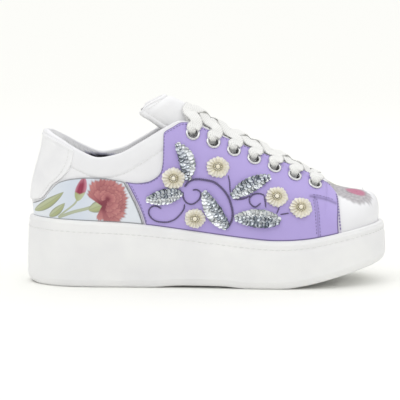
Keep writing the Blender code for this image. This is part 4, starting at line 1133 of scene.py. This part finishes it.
def turnedRing(profile, around):
    radius, height = np.array(profile).T * mm
    turn = np.arange(around)[:, None] * 2 * math.pi / around
    points = np.stack([np.cos(turn) * radius, np.sin(turn) * radius, 0 * turn + height], -1)
    faces = gridFaces(around + 1, len(radius), closed=True) % (around * len(radius))
    return points.reshape(-1, 3), faces


def makeEyelets():
    ring = turnedRing(eyelet["profile"], eyelet["around"])
    cutter = bmesh.new()
    for side, word in sides:
        for i in range(eyelet["count"]):
            centre, inward, along, normal = eyeletSeat(i, side)
            frames = np.stack([inward, along, normal], -1)
            addPiece(f"eyeletRing.{word}{i + 1}", *scattered(ring, centre[None], frames[None]),
                     looks["nickel"], "nickel", [f"eyelet_{word}_{i + 1}"], sharp=70)
            turn = Vector(normal).to_track_quat("Z", "Y").to_matrix().to_4x4()
            turn.translation = Vector(centre)
            bmesh.ops.create_cone(cutter, cap_ends=True, segments=32, radius1=eyelet["barrel"],
                                  radius2=eyelet["barrel"], depth=14 * mm, matrix=turn)
    mesh = bpy.data.meshes.new("eyeletPunch")
    cutter.to_mesh(mesh)
    cutter.free()
    punch = bpy.data.objects.new("eyeletPunch", mesh)
    bpy.context.scene.collection.objects.link(punch)
    for piece in (upperPiece, *quarters):       # the holes go through panel and wall
        cut = piece.modifiers.new("eyelet holes", "BOOLEAN")
        cut.operation = "DIFFERENCE"
        cut.object = punch
        bpy.context.view_layer.update()
        graph = bpy.context.evaluated_depsgraph_get()
        whole = bpy.data.meshes.new_from_object(piece.evaluated_get(graph))
        piece.modifiers.clear()
        piece.data = whole
    bpy.data.objects.remove(punch)


makeEyelets()
print("eyelets done")

# Lace: two strands, up through each eyelet, over the edge, across the tongue and under the far edge
lace = {
    "width": 10.5 * mm,
    "thick": 1.5 * mm,
    "pinched": 6.8 * mm,        # in an eyelet
    "lead": -2.0 * mm,          # it lies this much nearer the ankle than its eyelet
    "lift": 0.9 * mm,           # over the tongue
    "reach": 0.45,              # share of the tongue's half width
    "spacing": 1.0 * mm,
}


def throatStation(x):
    slope = (eyelet["last"][1] - eyelet["first"][1]) / (eyelet["last"][0] - eyelet["first"][0])
    a = np.linspace(float(topEyelet), float(throatEnd), 60)
    return np.interp(x - slope * lace["width"] / 2, read(sectionRows, "topX", a), a)


def tongueRow(x):
    rows = np.array(tongue["rows"])
    return np.interp(x, rows[::-1, 0] * mm, np.arange(len(rows))[::-1])


def lacePath():
    stops = []      # place, facing and width

    def add(place, facing, width):
        stops.append(np.concatenate([place, facing, [width]]))

    def outOfEyelet(i, side, face):
        centre, inward, _, normal = eyeletSeat(i, side)
        for up, to, facing, width in (
                (-6.0, 0.6, (normal + inward) / 2**0.5, "pinched"), (-3.2, 1.4, inward, "pinched"),
                (0.6, 2.0, inward - 0.5 * normal, "pinched"), (2.2, 3.8, -normal, "width")):
            add(centre + normal * up * mm + inward * to * mm, face * facing, lace[width])
        edge = throatStation(centre[0])
        for t, lift in ((0.965, 1.3), (0.995, 1.2)):
            facing = -face * skinNormal(edge, t, side)
            add(raised(edge, t, side, shoe["panelTop"] + lift * mm), facing, lace["width"])

    def underEdge(i, side, face):
        centre, inward, _, normal = eyeletSeat(i, side)
        edge = throatStation(centre[0])
        for t, depth in ((0.975, 3.4), (0.93, 3.7)):
            add(raised(edge, t, side, -depth * mm), face * skinNormal(edge, t, side), 0.9 * lace["width"])
        add(centre - normal * 6.4 * mm + inward * 3.0 * mm, face * normal, 0.75 * lace["width"])

    def overTongue(startX, endX, side, face, over):
        start, end = tongueRow(startX + lace["lead"]), tongueRow(endX + lace["lead"])
        for share in (-0.8, -0.4, 0.0, 0.4, 0.8):
            along = start + (end - start) * (share + 1) / 2
            place, up = tongueFace(along, -share * side * lace["reach"])
            hump = over * max(0.0, 1 - abs(share) / 0.6) * (lace["thick"] + 0.3 * mm)
            add(place + up * (lace["lift"] + lace["thick"] / 2 + hump), -face * up, lace["width"])

    def climb(side, face):
        for i in range(eyelet["count"] - 1, 0, -1):
            here, far = eyeletSeat(i, side)[0], eyeletSeat(i - 1, -side)[0]
            outOfEyelet(i, side, face)
            overTongue(here[0], far[0], side, face, over=(side == lateral) == (i % 2 == 0))
            underEdge(i - 1, -side, -face)
            side, face = -side, -face
        return side, face

    side, face = climb(medial, 1)       # from the toe end up one side
    outOfEyelet(0, side, face)          # its end crosses to the other top eyelet and is tucked in there
    here = eyeletSeat(0, side)[0]
    overTongue(here[0], here[0], side, face, 0)
    count = len(stops)
    outOfEyelet(0, -side, face)
    stops[count:] = stops[count:][::-1]
    first = np.array(stops)
    stops.clear()
    climb(lateral, 1)
    second = np.array(stops)
    return first, second


def laceRibbon(stops):
    run = travelled(stops[:, :3])[-1]
    rows = curved(stops, int(run / lace["spacing"]), 3)
    line, facing, width = rows[:, :3], unit(rows[:, 3:6]), rows[:, 6]
    along = unit(np.gradient(line, axis=0))
    wide = unit(np.cross(facing, along))
    up = np.cross(along, wide)
    share = np.concatenate([np.linspace(-1, 1, 9), np.linspace(1, -1, 9)[1:-1]])
    top = np.concatenate([np.ones(9), -np.ones(7)]) * np.sqrt(1 - np.abs(share) ** 5)
    thick = lace["thick"] * (1 + 0.5 * (1 - width / lace["width"]))     # it bunches where it is pinched
    points = (line[:, None] + wide[:, None] * (share * width[:, None] / 2)[..., None]
              + up[:, None] * (top * thick[:, None] / 2)[..., None])
    faces = gridFaces(len(line), len(share), closed=True)
    last = (len(line) - 1) * len(share)
    quad = np.arange(7)
    ends = np.stack([quad, quad + 1, (16 - quad - 1) % 16, (16 - quad) % 16], -1)
    weave = np.stack(np.broadcast_arrays(travelled(line)[:, None], share * lace["width"] / 2), -1)
    return points.reshape(-1, 3), np.concatenate([faces, ends, ends + last]), weave.reshape(-1, 2)


def makeLace():
    ribbons = [laceRibbon(stops) for stops in lacePath()]
    points, faces = joined([(p, f) for p, f, _ in ribbons])
    weave = np.concatenate([w for _, _, w in ribbons])
    addPiece("laceCotton", points, faces, looks["laceCotton"], "cotton_white", ["lace"], weave=weave)


makeLace()
print("lace done")

# Flowers: a ring of narrow pleated petals, a ring of beads and a pearl
flower = {
    "rows": [   # x, z, radius
        (-27.6, 90.9, 9.8), (8.6, 99.4, 9.7), (-9.6, 58.2, 8.9), (57.3, 75.2, 9.4), (77.1, 66.4, 9.5)],
    "petals": 16,
    "beads": 12,
    "pearl": 1.9 * mm,
    "rise": 3.0 * mm,
    # root: painted shade where the petals meet round the pearl; edge: the tips' light colour, also a painted
    # highlight on each pleat's raised side
    "root": "#8E8148",
    "petal": "#EFE9D6",
    "edge": "#FBF9F4",
}


def petalShape(radius):     # narrow petal along +X with one side higher than the other, like a pleat
    u, v = np.meshgrid(np.linspace(0.0, 1.0, 11), np.linspace(-1.0, 1.0, 7), indexing="ij")
    reach = radius * (0.16 + 0.84 * u)
    half = reach * math.tan(math.pi / flower["petals"]) * 1.35 * np.sqrt(np.clip(1.04 - u**10, 0.02, 1.0))
    tip = 0.03 * radius * (1 - v**2) * u
    height = flower["rise"] * (0.35 + 0.65 * np.sin(math.pi * (0.15 + 0.72 * u)) ** 0.8)
    height += v * 0.9 * mm * (0.3 + u) - 0.25 * mm * (1 - v**2) - 0.9 * mm * u**4
    outer = np.stack([reach + tip, half * v, height], -1)
    # Painted shade darkens the root; the tips lighten, with a painted highlight on each pleat's raised side
    paint = mixed(colourOf(flower["root"]), colourOf(flower["petal"]), smoothStep(0.12, 0.42, u))
    paint = mixed(paint, colourOf(flower["edge"]), smoothStep(0.5, 1.0, u) * (0.55 + 0.45 * v))
    paint = paint.reshape(-1, 3)
    return closedSheet(outer, outer - np.array([0.0, 0.0, 0.35 * mm])), np.concatenate([paint, paint])


def makeFlowers():
    for k, (x, z, radius) in enumerate(np.array(flower["rows"]) * mm):
        place, seat = seatedFrames(x, z, 0.0)
        turns = np.arange(flower["petals"]) * 2 * math.pi / flower["petals"] + 0.3 * k

        def turned(angles):
            cos, sin, flat = np.cos(angles), np.sin(angles), np.zeros_like(angles)
            spin = np.stack([np.stack([cos, -sin, flat], -1), np.stack([sin, cos, flat], -1),
                             np.stack([flat, flat, flat + 1], -1)], 1)
            return np.einsum("ij,kjl->kil", seat[0] * np.array([1.0, 0.92, 1.0]), spin)

        size = 1 + 0.035 * np.sin(turns * 5 + k)
        shape, shapePaint = petalShape(radius * 0.99)
        petals = scattered(shape, np.repeat(place, len(turns), 0), turned(turns) * size[:, None, None])
        # A small disc holds the petals to the panel; it takes the root's painted shade colour
        wide = radius / mm
        disc = turnedRing([(0.01, 0.05), (wide * 0.6, 0.05), (wide * 0.5, 1.2), (0.01, 1.6)], 24)
        backing = scattered(disc, place, seat)
        paint = np.concatenate([np.tile(shapePaint, (len(turns), 1)),
                                np.tile(colourOf(flower["root"]), (len(disc[0]), 1))])
        addPiece(f"flowerPetals.{k + 1}", *joined([petals, backing]), looks["satin"], "petals_ivory",
                 [f"flower_{k + 1}"], paint=paint)
        around = np.arange(flower["beads"]) * 2 * math.pi / flower["beads"]
        ringR, high = flower["pearl"] + 0.85 * mm, flower["rise"] - 0.1 * mm
        local = np.stack([ringR * np.cos(around), ringR * np.sin(around), high + 0 * around], -1)
        beads = scattered(ball(10, 7), place + local @ seat[0].T, np.repeat(seat, len(around), 0) * 0.58 * mm)
        pearlAt = place + seat[0] @ np.array([0.0, 0.0, flower["rise"] + 0.3 * mm])
        pearl = scattered(ball(24, 14), pearlAt, seat * flower["pearl"])
        addPiece(f"flowerPearls.{k + 1}", *joined([beads, pearl]), looks["pearl"], "petals_ivory")


makeFlowers()

# Leaves: rows of small cupped sequins that overlap towards the tip
leaf = {
    "rows": [   # base x, base z, tip x, tip z, width, bow
        (-16.0, 89.5, -25.5, 119.0, 14.0, -4.0), (-21.0, 79.5, -50.0, 73.5, 14.0, 0.5),
        (17.0, 50.5, -2.5, 80.5, 15.0, 2.0), (20.0, 76.0, 52.5, 90.8, 13.5, 1.5),
        (60.0, 56.0, 23.0, 58.6, 16.0, -1.0)],
    "bright": (-1, 1, 1, -1, -1),       # half that catches the light, shown by a painted highlight tint: 1 is left of the way from base to tip
    "pitch": 2.9 * mm,
    "sequin": [     # cupped film with a sewing hole: radius and height as shares of the outer radius
        (0.10, 0.0), (0.45, 0.0), (0.75, 0.11), (1.0, 0.27),
        (1.0, 0.31), (0.75, 0.15), (0.45, 0.04), (0.10, 0.04)],
    "radius": 0.19,     # of a sequin, as a share of the leaf's width
    "lean": (12, 18),   # degrees that each one leans on the one before it, on the bright half and elsewhere
    "fan": 50,          # degrees between the midrib and a sequin's long way
    # Painted light: a lit tint for the bright half's sequins, a painted shade tint for the rest
    "paintedLitTint": (1.0, 1.0, 1.0),
    "paintedShadeTint": (0.75, 0.77, 0.81),
}


def makeLeaves():
    shape = turnedRing(leaf["sequin"], 16)
    for k, row in enumerate(np.array(leaf["rows"]) * mm):
        base, tip, width, bow = row[:2], row[2:4], row[4], row[5]
        way = tip - base
        length = np.hypot(*way)
        ahead = way / length
        left = np.array([-ahead[1], ahead[0]])
        spots, leans, sizes, tints, tilt = [], [], [], [], []
        steps = int(length / leaf["pitch"])
        for n, share in enumerate(np.linspace(0.04, 0.95, steps)):
            half = width / 2 * math.sin(math.pi * share**0.85) ** 0.7
            middle = base + way * share + left * bow * 4 * share * (1 - share)
            size = leaf["radius"] * width * (0.55 + 0.9 * half / width)
            for lane in (-1, 1, 0):     # two rows that fan out, and a row of smaller ones on the midrib
                turn = math.radians(leaf["fan"]) * abs(lane)
                jitter = 0.25 * mm * math.sin(12.9 * n + 7.7 * lane + 3.1 * k)
                spots.append(middle + left * lane * 0.58 * half + ahead * jitter)
                leans.append(ahead * (math.sin(turn) if lane else 1.0) - left * lane * math.cos(turn))
                bright = lane == leaf["bright"][k]
                sizes.append(size * (1.08 if bright else 1.0 if lane else 0.8))
                tilt.append(leaf["lean"][0 if bright else 1])
                # painted highlight on the bright half, painted shade elsewhere
                shade = leaf["paintedLitTint"] if bright else leaf["paintedShadeTint"]
                flicker = 0.82 + 0.18 * math.sin(4.7 * n + 2.1 * lane + k)
                tints.append(np.array(shade) * flicker)
        spots, leans, sizes = np.array(spots), np.array(leans), np.array(sizes)
        order = np.arange(len(spots))
        tilt = np.radians(np.array(tilt) + 7 * np.sin(order * 2.7 + k))[:, None]
        lift = 0.5 * mm + sizes * np.sin(np.abs(tilt[:, 0])) * 0.85
        place, seat = seatedFrames(spots[:, 0], spots[:, 1], lift)
        lean = unit(seat[..., 0] * leans[:, :1] + seat[..., 1] * leans[:, 1:])
        normal = seat[..., 2] * np.cos(tilt) + lean * np.sin(tilt)
        across = unit(np.cross(normal, lean))
        roll = np.radians(8 * np.sin(order * 1.3 + 2 * k))[:, None]
        normal = unit(normal * np.cos(roll) + across * np.sin(roll))
        across = unit(np.cross(normal, lean))
        frames = np.stack([np.cross(across, normal), across, normal], -1) * (sizes / mm)[:, None, None]
        paint = np.repeat(np.array(tints), len(shape[0]), 0)
        addPiece(f"leafSequins.{k + 1}", *scattered(shape, place, frames), looks["sequin"], "sequins_silver",
                 [f"leaf_{k + 1}"], paint=paint, sharp=60)


makeLeaves()

# Vines: dark twisted cord sewn between flowers and leaves, x and z in mm
vines = {
    "pitch": 3.2 * mm,
    "lines": [      # radius, then the way
        (1.0, [(-18.5, 84.0), (-15.1, 88.1), (-11.0, 89.9), (-2.0, 89.6), (6.6, 87.3), (12.2, 82.9),
               (16.9, 76.9), (20.1, 68.9), (21.3, 61.9), (20.1, 55.5), (15.7, 49.5)]),
        (0.75, [(-19.9, 80.3), (-19.1, 74.3), (-16.6, 71.0), (-12.2, 69.9), (-8.5, 71.8), (-5.9, 74.9),
                (-5.2, 79.3), (-8.5, 81.8), (-11.9, 81.4)]),
        (0.7, [(-18.5, 69.9), (-18.8, 66.9), (-22.1, 61.4), (-25.8, 57.7), (-31.3, 55.2), (-37.6, 54.9),
               (-43.1, 56.2), (-46.4, 58.8), (-48.2, 62.5), (-47.8, 65.2), (-44.2, 68.1), (-40.5, 67.7),
               (-37.6, 65.9)]),
        (0.6, [(17.3, 93.2), (18.5, 87.6), (18.9, 82.9), (19.3, 78.9)]),
        (0.65, [(20.8, 74.5), (25.5, 73.7), (31.5, 74.5), (35.4, 76.5)]),
        (0.7, [(47.4, 76.8), (43.3, 78.1), (37.1, 76.8), (35.0, 73.9), (35.4, 71.0), (39.6, 67.7),
               (44.5, 70.7)]),
        (0.6, [(47.0, 76.8), (47.8, 71.8), (48.6, 66.9)]),
        (0.6, [(59.6, 67.3), (57.4, 62.1)]),
        (0.6, [(67.6, 62.5), (60.2, 61.5)])],
}


def makeVines():
    parts = []
    for thick, points in vines["lines"]:
        points = np.array(points) * mm
        line = curved(points, max(int(travelled(points)[-1] / (0.4 * mm)), 8))
        place, seat = seatedFrames(line[:, 0], line[:, 1], 0.5 * thick * mm)
        along = unit(np.gradient(place, axis=0))
        across = unit(np.cross(seat[..., 2], along))
        up = np.cross(along, across)
        run = np.arange(len(line))[:, None] * 0.4 * mm
        turn = np.arange(12) * 2 * math.pi / 12
        taper = np.clip(np.minimum(run, run[::-1]) / (1.2 * mm), 0.05, 1.0) ** 0.5
        radius = thick * mm * taper * (0.74 + 0.26 * np.cos(turn - 2 * math.pi * run / vines["pitch"]) ** 2)
        tube = (place[:, None] + across[:, None] * (radius * np.cos(turn))[..., None]
                + up[:, None] * (radius * np.sin(turn))[..., None])
        parts.append((tube.reshape(-1, 3), gridFaces(len(line), 12, closed=True)))
    addPiece("vineCord", *joined(parts), looks["cord"], "leather_lilac")


makeVines()
for thread, rows in sewing.items():
    slotName = "leather_lilac" if thread == "lilacThread" else "leather_white"
    addPiece(f"stitches.{thread}", *joined(rows), looks[thread], slotName)
print("ornament and sewing done")

# Studio: pale floor, soft light from above, camera at the photograph's angle
studio = {
    "floor": "#F6F6F2",
    "sky": [(0.15, 0.44), (0.75, 1.27)],    # height and brightness
    "lights": [     # name, place, power and width
        ("key", (-0.7, -1.0, 1.5), 2.4, 0.9), ("fill", (1.1, -0.9, 0.9), 0.8, 0.8),
        ("back", (0.3, 1.2, 1.3), 1.2, 1.0)],
    "target": (-0.0058, -0.045, 0.0739),
    "elevation": 7.0,
    "distance": 1.5,
    "lens": 163.8,
}


def makeStudio():
    scene = bpy.context.scene
    mesh = bpy.data.meshes.new("floor")
    mesh.from_pydata([(-30, -30, 0), (30, -30, 0), (30, 30, 0), (-30, 30, 0)], [], [(0, 1, 2, 3)])
    floor = bpy.data.objects.new("floor", mesh)
    scene.collection.objects.link(floor)
    paper, _, _ = newMaterial("paper backdrop, matt", {
        "Roughness": 0.9, "Specular IOR Level": 0.1, "Base Color": (*colourOf(studio["floor"]), 1.0)})
    mesh.materials.append(paper)
    # Sky: bright above, darker in front and low down, so that metal has something to mirror
    world = bpy.data.worlds.new("studio")
    scene.world = world
    world.use_nodes = True
    tree = world.node_tree
    place = addNode(tree, "TexCoord")
    split = addNode(tree, "SeparateXYZ", links={0: place.outputs["Generated"]})
    stops = [(height, (bright,) * 3) for height, bright in studio["sky"]]
    tone = addNode(tree, "ValToRGB", {"stops": stops}, {"Fac": split.outputs["Z"]})
    tree.links.new(tone.outputs["Color"], tree.nodes["Background"].inputs["Color"])
    for name, place, energy, width in studio["lights"]:
        data = bpy.data.lights.new(name, "AREA")
        data.energy, data.size = energy, width
        light = bpy.data.objects.new(name, data)
        light.location = place
        light.rotation_euler = (Vector((0.0, 0.0, 0.06)) - Vector(place)).to_track_quat("-Z", "Y").to_euler()
        scene.collection.objects.link(light)
    camera = bpy.data.objects.new("camera", bpy.data.cameras.new("camera"))
    rise = math.radians(studio["elevation"])
    back = Vector((0.0, -math.cos(rise), math.sin(rise)))
    camera.location = Vector(studio["target"]) + back * studio["distance"]
    camera.rotation_euler = (-back).to_track_quat("-Z", "Y").to_euler()
    camera.data.lens = studio["lens"]
    scene.collection.objects.link(camera)
    scene.camera = camera
    scene.view_settings.view_transform = "Standard"


makeStudio()
